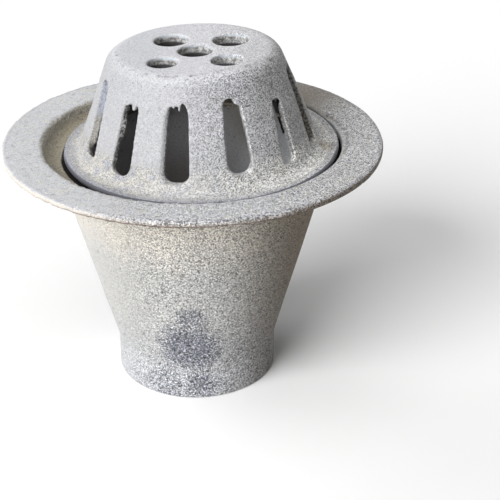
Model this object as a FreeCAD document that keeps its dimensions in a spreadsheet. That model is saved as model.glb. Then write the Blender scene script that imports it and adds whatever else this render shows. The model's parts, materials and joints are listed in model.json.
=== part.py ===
import FreeCAD, Part
import math
import os
import Sketcher

# Flat roof drain: a cast outlet body, and a cast dome strainer that lies loose in its seat.
# Millimetres. The drain stands on its spigot end, Z is up and the spigot's axis is the Z axis.

os.makedirs("parts", exist_ok=True)
doc = FreeCAD.newDocument("flat_roof_drain")
sheet = doc.addObject("Spreadsheet::Sheet", "sizes")


# Driving sizes, in millimetres and degrees

SIZES = {
    "body_height": 170,  # flange top above the spigot end
    "spigot_diameter": 110,  # outside of the spigot, which goes into the rain water pipe
    "spigot_length": 25,  # straight length of the spigot
    "spigot_wall": 5,  # wall of the spigot
    "funnel_wall": 8.6,  # level width of the funnel's wall under the seat
    "funnel_blend": 30,  # radius that eases the funnel into the spigot
    "seat_play": 6.8,  # room all round the brim at the foot of the recess
    "seat_depth": 9,  # ledge below the flange top
    "seat_floor": 5,  # thickness of the ledge
    "seat_wall": 5,  # wall round the recess at its foot
    "seat_draft": 1.2,  # how much wider the recess is at its mouth, on each side
    "ledge_width": 15.4,  # ledge from the recess wall in to the funnel's mouth
    "lip_round": 3,  # rounding of the recess mouth
    "foot_round": 1.2,  # hollow at the foot of the recess wall
    "cup_round": 2.5,  # roundings under the flange, outside the recess
    "flange_width": 26.4,  # flange from the recess mouth out to its rim
    "flange_thickness": 5,  # thickness of the flange
    "rim_round": 1.5,  # rounding of the flange's rim
    "brim_diameter": 181.2,  # outside of the strainer's brim
    "brim_thickness": 4.5,  # thickness of the brim
    "brim_top_round": 2.2,  # rounding of the brim's upper edge
    "brim_foot_round": 1.5,  # rounding of the brim's lower edge
    "brim_width": 11.8,  # brim from its edge in to the dome's face
    "dome_top_diameter": 107.4,  # dome face where it would meet the crown
    "dome_height": 65.2,  # crown above the brim
    "dome_wall": 5,  # wall of the dome, square to its face
    "crown_thickness": 5,  # thickness of the flat crown
    "shoulder_round": 11.7,  # radius between the dome's face and the crown
    "root_round": 8,  # hollow between the brim and the dome's face
    "slot_count": 12,  # slots round the dome
    "slot_start": -12,  # turn of the first slot from the front, in degrees
    "slot_rise": 6.1,  # foot of a slot above the brim
    "slot_height": 46,  # height of a slot
    "slot_foot_width": 16,  # width of a slot at its foot
    "slot_head_width": 11.5,  # width of a slot at its head
    "slot_corner": 4.5,  # corner radius of a slot
    "vent_diameter": 21,  # diameter of each round vent in the crown
    "vent_count": 4,  # vents round the middle one
    "vent_circle": 56,  # diameter of the circle that they stand on
    "vent_start": 40,  # turn of the first of them from the front, in degrees
    "vent_break": 0.9,  # broken edge round each vent
    "rest_tilt": 1.68,  # lean of the strainer where it lies, in degrees
    "rise_heading": 42,  # side on which its brim is high, in degrees from X towards Y
    "slide_heading": -32,  # side to which it has slid, in degrees from X towards Y
    "side_clearance": 0.3,  # gap between the brim and the recess wall on that side
    "rest_clearance": 0.15,  # gap between the brim's lowest point and the ledge
}
for row, (alias, value) in enumerate(SIZES.items(), 1):
    sheet.set("A%d" % row, alias)
    sheet.set("B%d" % row, str(value))
    sheet.setAlias("B%d" % row, alias)
doc.recompute()


# Lengths that several features share, each a formula of the driving sizes

BRIM_RADIUS = "(sizes.brim_diameter / 2)"
RECESS_FOOT = "(sizes.brim_diameter / 2 + sizes.seat_play)"
RECESS_MOUTH = "(%s + sizes.seat_draft)" % RECESS_FOOT
FLANGE_RADIUS = "(%s + sizes.flange_width)" % RECESS_MOUTH
CUP_RADIUS = "(%s + sizes.seat_wall)" % RECESS_FOOT
FUNNEL_MOUTH = "(%s - sizes.ledge_width)" % RECESS_FOOT
FUNNEL_FACE = "(%s + sizes.funnel_wall)" % FUNNEL_MOUTH
SPIGOT_RADIUS = "(sizes.spigot_diameter / 2)"
BORE_RADIUS = "(sizes.spigot_diameter / 2 - sizes.spigot_wall)"
FLANGE_UNDERSIDE = "(sizes.body_height - sizes.flange_thickness)"
LEDGE_LEVEL = "(sizes.body_height - sizes.seat_depth)"
CUP_UNDERSIDE = "(%s - sizes.seat_floor)" % LEDGE_LEVEL
CROWN_LEVEL = "(sizes.brim_thickness + sizes.dome_height)"
CROWN_UNDERSIDE = "(%s - sizes.crown_thickness)" % CROWN_LEVEL
DOME_FOOT = "(%s - sizes.brim_width)" % BRIM_RADIUS
DOME_TOP = "(sizes.dome_top_diameter / 2)"
DOME_SLOPE = "((%s - %s) / sizes.dome_height)" % (DOME_FOOT, DOME_TOP)
LEVEL_WALL = "(sizes.dome_wall * sqrt(1 + %s ^ 2))" % DOME_SLOPE
INNER_FOOT = "(%s + %s * sizes.brim_thickness - %s)" % (DOME_FOOT, DOME_SLOPE, LEVEL_WALL)
INNER_TOP = "(%s + %s * sizes.crown_thickness - %s)" % (DOME_TOP, DOME_SLOPE, LEVEL_WALL)
VENT_RADIUS = "(sizes.vent_diameter / 2)"
SLOT_CORNER = "min(sizes.slot_corner; 0.45 * sizes.slot_head_width)"
SLOT_FOOT_SIDE = "(sizes.slot_foot_width / 2 - %s)" % SLOT_CORNER
SLOT_HEAD_SIDE = "(sizes.slot_head_width / 2 - %s)" % SLOT_CORNER
SLOT_FOOT_LEVEL = "(sizes.brim_thickness + sizes.slot_rise + %s)" % SLOT_CORNER
SLOT_HEAD_LEVEL = "(%s + sizes.slot_height - 2 * %s)" % (SLOT_FOOT_LEVEL, SLOT_CORNER)
BRIM_FOOT_ROUND = "min(sizes.brim_foot_round; 0.45 * sizes.brim_thickness)"


def number(formula):
    """The number that a formula gives with the sheet as it stands."""
    return float(sheet.evalExpression(formula))


def origin_part(body, role):
    for feature in body.Origin.OriginFeatures:
        if feature.Role == role:
            return feature
    raise RuntimeError("no origin feature " + role)


def new_body(name):
    body = doc.addObject("PartDesign::Body", name)
    body.Label = name
    return body


def new_sketch(body, name, plane):
    sketch = body.newObject("Sketcher::SketchObject", name)
    sketch.AttachmentSupport = [(origin_part(body, plane), "")]
    sketch.MapMode = "FlatFace"
    return sketch


def turn_sketch(sketch, local_axis, angle):
    """Turns a sketch about the drain's axis, which is local_axis in the sketch's own frame."""
    sketch.AttachmentOffset = FreeCAD.Placement(FreeCAD.Vector(), FreeCAD.Rotation(local_axis, number(angle)))
    sketch.setExpression("AttachmentOffset.Rotation.Angle", angle)


def dimension(sketch, name, kind, places, formula):
    """Adds a named constraint whose value follows a formula of the sheet."""
    index = sketch.addConstraint(Sketcher.Constraint(kind, *places, number(formula)))
    sketch.renameConstraint(index, name)
    sketch.setExpression("Constraints." + name, formula)


def outline(sketch, corners):
    """A closed outline of straight lines: each corner has a name, a radius and a level."""
    points = [FreeCAD.Vector(number(radius), number(level), 0) for name, radius, level in corners]
    for start, end in zip(points, points[1:] + points[:1]):
        sketch.addGeometry(Part.LineSegment(start, end))
    count = len(corners)
    for line in range(count):
        sketch.addConstraint(Sketcher.Constraint("Coincident", line, 2, (line + 1) % count, 1))
    for line, (name, radius, level) in enumerate(corners):
        if radius == "0":
            sketch.addConstraint(Sketcher.Constraint("PointOnObject", line, 1, -2))
        else:
            dimension(sketch, name + "_radius", "DistanceX", (-1, 1, line, 1), radius)
        if level == "0":
            sketch.addConstraint(Sketcher.Constraint("PointOnObject", line, 1, -1))
        else:
            dimension(sketch, name + "_level", "DistanceY", (-1, 1, line, 1), level)


def revolve(body, name, sketch):
    turned = body.newObject("PartDesign::Revolution", name)
    turned.Profile = sketch
    turned.ReferenceAxis = (origin_part(body, "Z_Axis"), [""])
    turned.Angle = 360
    sketch.Visibility = False
    doc.recompute()
    return turned


def ring_edges(shape, radius, level):
    """Names of the circular edges of a radius that lie level at a height."""
    names = []
    for index, edge in enumerate(shape.Edges, 1):
        curve = edge.Curve
        if isinstance(curve, Part.Circle) and abs(curve.Radius - number(radius)) < 0.01:
            if abs(curve.Center.z - number(level)) < 0.01 and abs(abs(curve.Axis.z) - 1) < 0.001:
                names.append("Edge%d" % index)
    if not names:
        raise RuntimeError("no edge at radius %s, level %s" % (radius, level))
    return names


def ease_rings(body, name, kind, length, rings):
    """Rounds or breaks the circular edges at the given radii and levels."""
    base = body.Tip
    edges = []
    for radius, level in rings:
        edges += ring_edges(base.Shape, radius, level)
    feature = body.newObject("PartDesign::" + kind, name)
    feature.Base = (base, edges)
    feature.setExpression("Radius" if kind == "Fillet" else "Size", length)
    doc.recompute()
    return feature


def cut_through(body, name, sketch):
    """Cuts a sketch's outline from its plane outwards, on the side that its normal points to."""
    before = body.Shape.Volume
    pocket = body.newObject("PartDesign::Pocket", name)
    pocket.Profile = sketch
    pocket.Type = "ThroughAll"
    pocket.Reversed = True
    sketch.Visibility = False
    doc.recompute()
    if not pocket.Shape.Volume < before - 1:
        raise RuntimeError(name + " cuts nothing")
    return pocket


def repeat_round(body, name, feature, count):
    pattern = body.newObject("PartDesign::PolarPattern", name)
    pattern.Originals = [feature]
    pattern.Axis = (origin_part(body, "Z_Axis"), [""])
    pattern.Angle = 360
    pattern.setExpression("Occurrences", count)
    body.Tip = pattern
    doc.recompute()
    return pattern


# Outlet body: spigot, funnel, seat and flange are one casting, turned from its half section

outlet = new_body("outlet_body")
section = new_sketch(outlet, "outlet_section", "XZ_Plane")
outline(section, (
    ("spigot_end_outside", SPIGOT_RADIUS, "0"),
    ("spigot_top_outside", SPIGOT_RADIUS, "sizes.spigot_length"),
    ("funnel_top_outside", FUNNEL_FACE, CUP_UNDERSIDE),
    ("cup_underside", CUP_RADIUS, CUP_UNDERSIDE),
    ("cup_top", CUP_RADIUS, FLANGE_UNDERSIDE),
    ("flange_rim_below", FLANGE_RADIUS, FLANGE_UNDERSIDE),
    ("flange_rim_above", FLANGE_RADIUS, "sizes.body_height"),
    ("recess_mouth", RECESS_MOUTH, "sizes.body_height"),
    ("recess_foot", RECESS_FOOT, LEDGE_LEVEL),
    ("funnel_mouth", FUNNEL_MOUTH, LEDGE_LEVEL),
    ("bore_top", BORE_RADIUS, "sizes.spigot_length"),
    ("bore_end", BORE_RADIUS, "0"),
))
revolve(outlet, "outlet_casting", section)
ease_rings(outlet, "funnel_blends", "Fillet", "sizes.funnel_blend", (
    (SPIGOT_RADIUS, "sizes.spigot_length"),
    (BORE_RADIUS, "sizes.spigot_length"),
))
ease_rings(outlet, "recess_lip", "Fillet", "sizes.lip_round", (
    (RECESS_MOUTH, "sizes.body_height"),
))
ease_rings(outlet, "recess_hollow", "Fillet", "sizes.foot_round", (
    (RECESS_FOOT, LEDGE_LEVEL),
))
ease_rings(outlet, "rim_edges", "Fillet", "min(sizes.rim_round; 0.45 * sizes.flange_thickness)", (
    (FLANGE_RADIUS, "sizes.body_height"),
    (FLANGE_RADIUS, FLANGE_UNDERSIDE),
    (FUNNEL_MOUTH, LEDGE_LEVEL),
))
CUP_SIDE = "(%s - %s)" % (FLANGE_UNDERSIDE, CUP_UNDERSIDE)
ease_rings(outlet, "cup_edges", "Fillet", "min(sizes.cup_round; 0.4 * %s)" % CUP_SIDE, (
    (CUP_RADIUS, FLANGE_UNDERSIDE),
    (CUP_RADIUS, CUP_UNDERSIDE),
    (FUNNEL_FACE, CUP_UNDERSIDE),
))


# Dome strainer: brim, dome wall and crown are one casting, modelled with its brim flat on the ground

strainer = new_body("dome_strainer")
section = new_sketch(strainer, "strainer_section", "XZ_Plane")
outline(section, (
    ("brim_foot", BRIM_RADIUS, "0"),
    ("brim_top", BRIM_RADIUS, "sizes.brim_thickness"),
    ("dome_root", DOME_FOOT, "sizes.brim_thickness"),
    ("shoulder", DOME_TOP, CROWN_LEVEL),
    ("crown_middle", "0", CROWN_LEVEL),
    ("ceiling_middle", "0", CROWN_UNDERSIDE),
    ("inner_shoulder", INNER_TOP, CROWN_UNDERSIDE),
    ("inner_foot", INNER_FOOT, "0"),
))
revolve(strainer, "strainer_casting", section)
ease_rings(strainer, "shoulder", "Fillet", "sizes.shoulder_round", (
    (DOME_TOP, CROWN_LEVEL),
))
ease_rings(strainer, "inner_shoulder", "Fillet", "max(sizes.shoulder_round - sizes.dome_wall; 1)", (
    (INNER_TOP, CROWN_UNDERSIDE),
))
ease_rings(strainer, "dome_root", "Fillet", "sizes.root_round", (
    (DOME_FOOT, "sizes.brim_thickness"),
))
ease_rings(strainer, "brim_upper_edge", "Fillet", "min(sizes.brim_top_round; 0.5 * sizes.brim_thickness)", (
    (BRIM_RADIUS, "sizes.brim_thickness"),
))
ease_rings(strainer, "brim_lower_edges", "Fillet", BRIM_FOOT_ROUND, (
    (BRIM_RADIUS, "0"),
    (INNER_FOOT, "0"),
))


def slot_sketch(body):
    """One slot seen from the front: wide at its foot, narrow at its head, with round corners."""
    sketch = new_sketch(body, "slot_shape", "XZ_Plane")
    turn_sketch(sketch, FreeCAD.Vector(0, 1, 0), "sizes.slot_start")
    corner = number(SLOT_CORNER)
    foot_side, head_side = number(SLOT_FOOT_SIDE), number(SLOT_HEAD_SIDE)
    foot_level, head_level = number(SLOT_FOOT_LEVEL), number(SLOT_HEAD_LEVEL)
    lean = math.atan2(foot_side - head_side, head_level - foot_level)
    corners = (
        (foot_side, foot_level, -math.pi / 2, lean),
        (head_side, head_level, lean, math.pi / 2),
        (-head_side, head_level, math.pi / 2, math.pi - lean),
        (-foot_side, foot_level, math.pi - lean, 3 * math.pi / 2),
    )
    arcs = []
    for side, level, start, end in corners:
        circle = Part.Circle(FreeCAD.Vector(side, level, 0), FreeCAD.Vector(0, 0, 1), corner)
        arcs.append(Part.ArcOfCircle(circle, start, end))
    for arc, following in zip(arcs, arcs[1:] + arcs[:1]):
        sketch.addGeometry(arc)
        sketch.addGeometry(Part.LineSegment(arc.EndPoint, following.StartPoint))
    pieces = 2 * len(arcs)
    for piece in range(pieces):
        sketch.addConstraint(Sketcher.Constraint("Tangent", piece, 2, (piece + 1) % pieces, 1))
    foot_right, head_right, head_left, foot_left = range(0, pieces, 2)
    dimension(sketch, "corner", "Radius", (foot_right,), SLOT_CORNER)
    for arc in (head_right, head_left, foot_left):
        sketch.addConstraint(Sketcher.Constraint("Equal", foot_right, arc))
    for right, left in ((foot_right, foot_left), (head_right, head_left)):
        sketch.addConstraint(Sketcher.Constraint("Symmetric", right, 3, left, 3, -2))
    dimension(sketch, "foot_side", "DistanceX", (-1, 1, foot_right, 3), SLOT_FOOT_SIDE)
    dimension(sketch, "head_side", "DistanceX", (-1, 1, head_right, 3), SLOT_HEAD_SIDE)
    dimension(sketch, "foot_level", "DistanceY", (-1, 1, foot_right, 3), SLOT_FOOT_LEVEL)
    dimension(sketch, "head_level", "DistanceY", (-1, 1, head_right, 3), SLOT_HEAD_LEVEL)
    return sketch


slot = cut_through(strainer, "slot", slot_sketch(strainer))
repeat_round(strainer, "slots", slot, "sizes.slot_count")


def vent_sketch(body, name):
    """A round vent, drawn from below on the plane of the brim's underside."""
    sketch = new_sketch(body, name, "XY_Plane")
    sketch.addGeometry(Part.Circle(FreeCAD.Vector(), FreeCAD.Vector(0, 0, 1), number(VENT_RADIUS)))
    dimension(sketch, "vent_radius", "Radius", (0,), VENT_RADIUS)
    return sketch


middle_vent = vent_sketch(strainer, "middle_vent_shape")
middle_vent.addConstraint(Sketcher.Constraint("Coincident", 0, 3, -1, 1))
cut_through(strainer, "middle_vent", middle_vent)
outer_vent = vent_sketch(strainer, "outer_vent_shape")
outer_vent.addConstraint(Sketcher.Constraint("PointOnObject", 0, 3, -2))
dimension(outer_vent, "from_middle", "DistanceY", (0, 3, -1, 1), "sizes.vent_circle / 2")
turn_sketch(outer_vent, FreeCAD.Vector(0, 0, 1), "sizes.vent_start")
vent = cut_through(strainer, "outer_vent", outer_vent)
repeat_round(strainer, "outer_vents", vent, "sizes.vent_count")
ease_rings(strainer, "vent_edges", "Chamfer", "sizes.vent_break", (
    (VENT_RADIUS, CROWN_LEVEL),
))


# The strainer lies loose: slid until its brim meets the recess wall, and leaning on one edge

SLIDE = "(sizes.seat_play - sizes.side_clearance)"
LOWEST_EDGE = "((%s - %s) * sin(sizes.rest_tilt * 1 deg))" % (BRIM_RADIUS, BRIM_FOOT_ROUND)
EDGE_ROLL = "(%s * (1 - cos(sizes.rest_tilt * 1 deg)))" % BRIM_FOOT_ROUND
rise = math.radians(number("sizes.rise_heading"))
hinge = FreeCAD.Vector(math.sin(rise), -math.cos(rise), 0)
strainer.Placement = FreeCAD.Placement(FreeCAD.Vector(), FreeCAD.Rotation(hinge, number("sizes.rest_tilt")))
strainer.setExpression("Placement.Rotation.Angle", "sizes.rest_tilt")
strainer.setExpression("Placement.Base.x", SLIDE + " * cos(sizes.slide_heading * 1 deg)")
strainer.setExpression("Placement.Base.y", SLIDE + " * sin(sizes.slide_heading * 1 deg)")
strainer.setExpression("Placement.Base.z", "%s + sizes.rest_clearance + %s + %s"
                       % (LEDGE_LEVEL, LOWEST_EDGE, EDGE_ROLL))
doc.recompute()


# Every object and both castings are checked before anything is written

for thing in doc.Objects:
    if "Invalid" in thing.State or "Error" in thing.State:
        raise RuntimeError(thing.Label + " failed: " + ", ".join(thing.State))

for body in (outlet, strainer):
    shape = body.Shape
    if shape.isNull() or not shape.isValid() or len(shape.Solids) != 1:
        raise RuntimeError(body.Label + " is not one sound solid")

for body in (outlet, strainer):
    body.Shape.exportStep(os.path.join("parts", body.Label + ".step"))
    box = body.Shape.optimalBoundingBox()
    print("%s: %.0f cubic mm, X %.1f to %.1f, Y %.1f to %.1f, Z %.1f to %.1f" % (
        body.Label, body.Shape.Volume, box.XMin, box.XMax, box.YMin, box.YMax, box.ZMin, box.ZMax))
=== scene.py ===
# %% [markdown]
# # A cast flat roof drain
# The drain is two rough sand castings in aluminium. The outlet body is one piece: a spigot for the
# rain pipe, a funnel and a wide flange with a sunken seat. The strainer is a slotted dome with a brim,
# and it lies loose in that seat, a little askew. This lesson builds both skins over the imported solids,
# then gives them their grain, stains and light.

import json
import math

import bpy
import bmesh
import numpy as np
from mathutils import Matrix, Vector, noise

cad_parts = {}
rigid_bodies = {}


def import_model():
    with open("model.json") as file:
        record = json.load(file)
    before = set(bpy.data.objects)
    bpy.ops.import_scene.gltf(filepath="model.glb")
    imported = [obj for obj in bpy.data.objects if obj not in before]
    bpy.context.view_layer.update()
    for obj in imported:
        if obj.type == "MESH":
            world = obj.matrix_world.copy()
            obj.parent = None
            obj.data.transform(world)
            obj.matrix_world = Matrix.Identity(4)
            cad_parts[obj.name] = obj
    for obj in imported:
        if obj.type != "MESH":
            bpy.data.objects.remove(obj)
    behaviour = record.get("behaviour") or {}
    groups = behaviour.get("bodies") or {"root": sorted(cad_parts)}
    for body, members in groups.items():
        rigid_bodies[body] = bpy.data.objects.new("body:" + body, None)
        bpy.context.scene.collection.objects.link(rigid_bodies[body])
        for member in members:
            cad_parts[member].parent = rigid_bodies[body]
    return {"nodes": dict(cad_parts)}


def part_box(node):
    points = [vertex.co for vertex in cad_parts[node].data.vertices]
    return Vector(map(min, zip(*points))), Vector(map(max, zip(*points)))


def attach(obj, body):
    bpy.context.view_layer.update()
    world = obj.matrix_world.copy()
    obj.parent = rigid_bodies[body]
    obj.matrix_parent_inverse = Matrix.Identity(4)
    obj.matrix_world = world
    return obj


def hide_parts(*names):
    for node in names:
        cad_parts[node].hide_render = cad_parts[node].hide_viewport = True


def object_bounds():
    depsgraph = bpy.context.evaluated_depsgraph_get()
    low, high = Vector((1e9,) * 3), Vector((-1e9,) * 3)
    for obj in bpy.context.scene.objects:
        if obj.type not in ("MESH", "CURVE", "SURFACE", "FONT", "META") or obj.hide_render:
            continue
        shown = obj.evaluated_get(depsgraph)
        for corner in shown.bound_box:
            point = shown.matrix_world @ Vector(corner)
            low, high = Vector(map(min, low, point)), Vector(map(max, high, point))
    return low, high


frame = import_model()
cad_box = [list(corner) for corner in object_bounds()]
print("The packed drain has", len(frame["nodes"]), "castings, highest point", round(cad_box[1][2], 4), "m")

# %% [markdown]
# ## Sizes
# Blender works in metres, and the castings are easier to think about in millimetres, so every size
# here is in millimetres and is turned into metres where a mesh is made. The flange and the height are
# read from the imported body. The other sizes are the body's own, from its spigot up to its flange.

# %% Sizes of the outlet body, in millimetres
MM = 0.001
body_low, body_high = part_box("outlet_body")
FLANGE_RADIUS = body_high.x / MM
FLANGE_TOP = body_high.z / MM
FLANGE_UNDER = FLANGE_TOP - 5
RECESS_MOUTH = FLANGE_RADIUS - 26.4
RECESS_FOOT = RECESS_MOUTH - 1.2
LEDGE_LEVEL = FLANGE_TOP - 9
CUP_RADIUS = RECESS_FOOT + 5
CUP_UNDER = LEDGE_LEVEL - 5
FUNNEL_MOUTH = RECESS_FOOT - 15.4
FUNNEL_FACE = FUNNEL_MOUTH + 8.6
SPIGOT_RADIUS = 55
BORE_RADIUS = 50
SPIGOT_LENGTH = 25
print("Flange radius", round(FLANGE_RADIUS, 2), "mm, top at", round(FLANGE_TOP, 2), "mm")

# %% [markdown]
# ## Camera
# The camera comes before the castings, because it says how much detail can be seen. The drain was
# looked at from 25 degrees above its flange through a long lens. One spot on the axis is known in the
# picture, so the camera is first aimed straight at it and then swung until the spot lies where it should.

# %% Camera
PICTURE_SIDE = 500
FOCAL_LENGTH = 1324
SENSOR_WIDTH = 36
AIM_SPOT = Vector((0, 0, 134.29)) * MM
AIM_PIXEL = (194.171, 185.934)
CAMERA_DISTANCE = 893.9 * MM
CAMERA_HEIGHT_ANGLE = math.radians(25.11)
CAMERA_ROLL = math.radians(-1.112)


def place_camera():
    level = Vector((1, 0, 0))
    ahead = Vector((0, math.cos(CAMERA_HEIGHT_ANGLE), -math.sin(CAMERA_HEIGHT_ANGLE)))
    above = level.cross(ahead)
    side = math.cos(CAMERA_ROLL) * level + math.sin(CAMERA_ROLL) * above
    top = -math.sin(CAMERA_ROLL) * level + math.cos(CAMERA_ROLL) * above
    straight = Matrix((side, top, -ahead)).transposed()
    middle = PICTURE_SIDE / 2
    off_axis = Vector(((AIM_PIXEL[0] - middle) / FOCAL_LENGTH, (middle - AIM_PIXEL[1]) / FOCAL_LENGTH, -1))
    swing = Vector((0, 0, -1)).rotation_difference(off_axis)
    turned = straight @ swing.inverted().to_matrix()
    lens = bpy.data.cameras.new("camera")
    lens.sensor_width = SENSOR_WIDTH
    lens.lens = FOCAL_LENGTH / PICTURE_SIDE * SENSOR_WIDTH
    lens.clip_start = 0.05
    lens.clip_end = 50
    camera = bpy.data.objects.new("camera", lens)
    bpy.context.collection.objects.link(camera)
    camera.matrix_world = Matrix.Translation(AIM_SPOT - ahead * CAMERA_DISTANCE) @ turned.to_4x4()
    bpy.context.scene.camera = camera
    return camera


camera = place_camera()
print("Lens", round(camera.data.lens, 2), "mm, camera at", [round(value, 3) for value in camera.location])

# %% [markdown]
# ## Floor, room and light
# A casting this pale needs a soft light from one side, or its grain disappears. The main light stands
# low at the front left. A weaker one lights the left side from behind and one from above fills the
# crown. The floor is white to the eye. For light that bounces it is a darker grey, so that it does not
# fill the shaded right side of the drain.

# %% Floor
FLOOR_HALF = 4
FLOOR_SEEN = (0.99, 0.99, 0.99, 1)
FLOOR_BOUNCE = (0.30, 0.30, 0.30, 1)


def make_floor():
    mesh = bpy.data.meshes.new("floor")
    corners = [(-FLOOR_HALF, -FLOOR_HALF, 0), (FLOOR_HALF, -FLOOR_HALF, 0),
               (FLOOR_HALF, FLOOR_HALF, 0), (-FLOOR_HALF, FLOOR_HALF, 0)]
    mesh.from_pydata(corners, [], [(0, 1, 2, 3)])
    floor = bpy.data.objects.new("floor", mesh)
    bpy.context.collection.objects.link(floor)
    paint = bpy.data.materials.new("floor_paint")
    paint.use_nodes = True
    tree = paint.node_tree
    tree.nodes.clear()
    seen = tree.nodes.new("ShaderNodeBsdfDiffuse")
    seen.inputs["Color"].default_value = FLOOR_SEEN
    bounce = tree.nodes.new("ShaderNodeBsdfDiffuse")
    bounce.inputs["Color"].default_value = FLOOR_BOUNCE
    path = tree.nodes.new("ShaderNodeLightPath")
    choose = tree.nodes.new("ShaderNodeMixShader")
    output = tree.nodes.new("ShaderNodeOutputMaterial")
    tree.links.new(path.outputs["Is Diffuse Ray"], choose.inputs["Fac"])
    tree.links.new(seen.outputs[0], choose.inputs[1])
    tree.links.new(bounce.outputs[0], choose.inputs[2])
    tree.links.new(choose.outputs[0], output.inputs["Surface"])
    mesh.materials.append(paint)
    return floor


make_floor()
print("Floor", 2 * FLOOR_HALF, "m wide")

# %% [markdown]
# The room itself gives almost no light, so that each lamp keeps its shade. To the eye and in the sheen
# of the metal it is white. The lamps are suns with a wide disc, which are as soft as the light tents of
# a photo table and need no distance of their own.

# %% Room and lamps
ROOM_LIGHT = 0.03
# Name, turn from the front and rise above the floor, width of its disc, all in degrees, and strength.
LAMPS = (
    ("main_lamp", -45, 25, 46, 4.35),
    ("left_lamp", -120, 25, 50, 1.05),
    ("top_lamp", 5, 75, 60, 0.90),
)


def light_room():
    room = bpy.data.worlds.new("room")
    room.use_nodes = True
    tree = room.node_tree
    tree.nodes.clear()
    dim = tree.nodes.new("ShaderNodeBackground")
    dim.inputs["Strength"].default_value = ROOM_LIGHT
    white = tree.nodes.new("ShaderNodeBackground")
    white.inputs["Strength"].default_value = 1
    path = tree.nodes.new("ShaderNodeLightPath")
    seen = tree.nodes.new("ShaderNodeMath")
    seen.operation = "MAXIMUM"
    choose = tree.nodes.new("ShaderNodeMixShader")
    output = tree.nodes.new("ShaderNodeOutputWorld")
    for background in (dim, white):
        background.inputs["Color"].default_value = (1, 1, 1, 1)
    tree.links.new(path.outputs["Is Camera Ray"], seen.inputs[0])
    tree.links.new(path.outputs["Is Glossy Ray"], seen.inputs[1])
    tree.links.new(seen.outputs[0], choose.inputs["Fac"])
    tree.links.new(dim.outputs[0], choose.inputs[1])
    tree.links.new(white.outputs[0], choose.inputs[2])
    tree.links.new(choose.outputs[0], output.inputs["Surface"])
    bpy.context.scene.world = room


def hang_lamp(name, turn, rise, disc, strength):
    light = bpy.data.lights.new(name, "SUN")
    light.angle = math.radians(disc)
    light.energy = strength
    lamp = bpy.data.objects.new(name, light)
    bpy.context.collection.objects.link(lamp)
    turn, rise = math.radians(turn), math.radians(rise)
    towards = Vector((math.sin(turn) * math.cos(rise), -math.cos(turn) * math.cos(rise), math.sin(rise)))
    lamp.location = towards
    lamp.rotation_mode = "QUATERNION"
    lamp.rotation_quaternion = (-towards).to_track_quat("-Z", "Y")
    print(name, "shines from", [round(value, 2) for value in towards])


light_room()
for settings in LAMPS:
    hang_lamp(*settings)
bpy.context.scene.view_settings.view_transform = "Standard"

# %% [markdown]
# ## Turning a section into a casting
# Both castings are bodies of revolution at heart. A section is a closed outline of corners, each with
# a radius from the axis, a level and a rounding. The helper below swaps each corner for an arc, cuts
# long runs into short steps, and a second helper spins the outline into rings of four-sided faces.
# Even small faces matter here, because the rough skin is pressed into them later.

# %% Section helpers
ARC_STEP = 0.7
LONG_ARC_STEP = 2
LONG_ARC_FROM = 20


def rounded_section(corners):
    """The closed outline of a section: corners are (radius, level, rounding)."""
    points = []
    for index, (radius, level, rounding) in enumerate(corners):
        here = Vector((radius, level))
        back = (Vector(corners[index - 1][:2]) - here).normalized()
        onward = (Vector(corners[(index + 1) % len(corners)][:2]) - here).normalized()
        if rounding == 0:
            points.append(here)
            continue
        half_angle = back.angle(onward) / 2
        centre = here + (back + onward).normalized() * rounding / math.sin(half_angle)
        first = here + back * rounding / math.tan(half_angle) - centre
        last = here + onward * rounding / math.tan(half_angle) - centre
        sweep = math.pi - 2 * half_angle
        arc_step = LONG_ARC_STEP if rounding > LONG_ARC_FROM else ARC_STEP
        steps = max(2, math.ceil(sweep * rounding / arc_step))
        for step in range(steps + 1):
            part = step / steps
            from_first = math.sin((1 - part) * sweep) / math.sin(sweep)
            from_last = math.sin(part * sweep) / math.sin(sweep)
            points.append(centre + first * from_first + last * from_last)
    return points


def even_steps(points, step_at):
    """Cuts each run of a closed outline into steps no longer than step_at(radius, level)."""
    result = []
    for index, here in enumerate(points):
        following = points[(index + 1) % len(points)]
        middle = (here + following) / 2
        pieces = max(1, math.ceil((following - here).length / step_at(middle.x, middle.y)))
        for piece in range(pieces):
            result.append(here.lerp(following, piece / pieces))
    return result


def piece_from(shape, name):
    """Makes a piece of a bmesh, with its faces looking outwards."""
    bmesh.ops.recalc_face_normals(shape, faces=shape.faces)
    mesh = bpy.data.meshes.new(name)
    shape.to_mesh(mesh)
    shape.free()
    piece = bpy.data.objects.new(name, mesh)
    bpy.context.collection.objects.link(piece)
    return piece


def spin(name, section, around):
    """Rings of four-sided faces round the Z axis. Points on the axis are merged into one."""
    rows = len(section)
    radius = np.array([point.x for point in section])
    level = np.array([point.y for point in section])
    turn = np.arange(around) * 2 * math.pi / around
    ring = np.stack([np.outer(radius, np.sin(turn)),
                     np.outer(radius, -np.cos(turn)),
                     np.outer(level, np.ones(around))], axis=2)
    row, column = np.meshgrid(np.arange(rows), np.arange(around), indexing="ij")
    next_row = (row + 1) % rows
    next_column = (column + 1) % around
    faces = np.stack([row * around + column, row * around + next_column,
                      next_row * around + next_column, next_row * around + column], axis=2)
    rings = bpy.data.meshes.new("rings")
    rings.from_pydata((ring * MM).reshape(-1, 3).tolist(), [], faces.reshape(-1, 4).tolist())
    shape = bmesh.new()
    shape.from_mesh(rings)
    bpy.data.meshes.remove(rings)
    bmesh.ops.remove_doubles(shape, verts=shape.verts, dist=1e-7)
    return piece_from(shape, name)


print("Arcs are cut into steps of", ARC_STEP, "mm")

# %% [markdown]
# ## Outlet body
# The pattern maker turned this shape, and the moulder rammed sand round it. The step along the section
# is short where the eye reaches, on the outside, the flange and the seat, and long inside the funnel.

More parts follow.
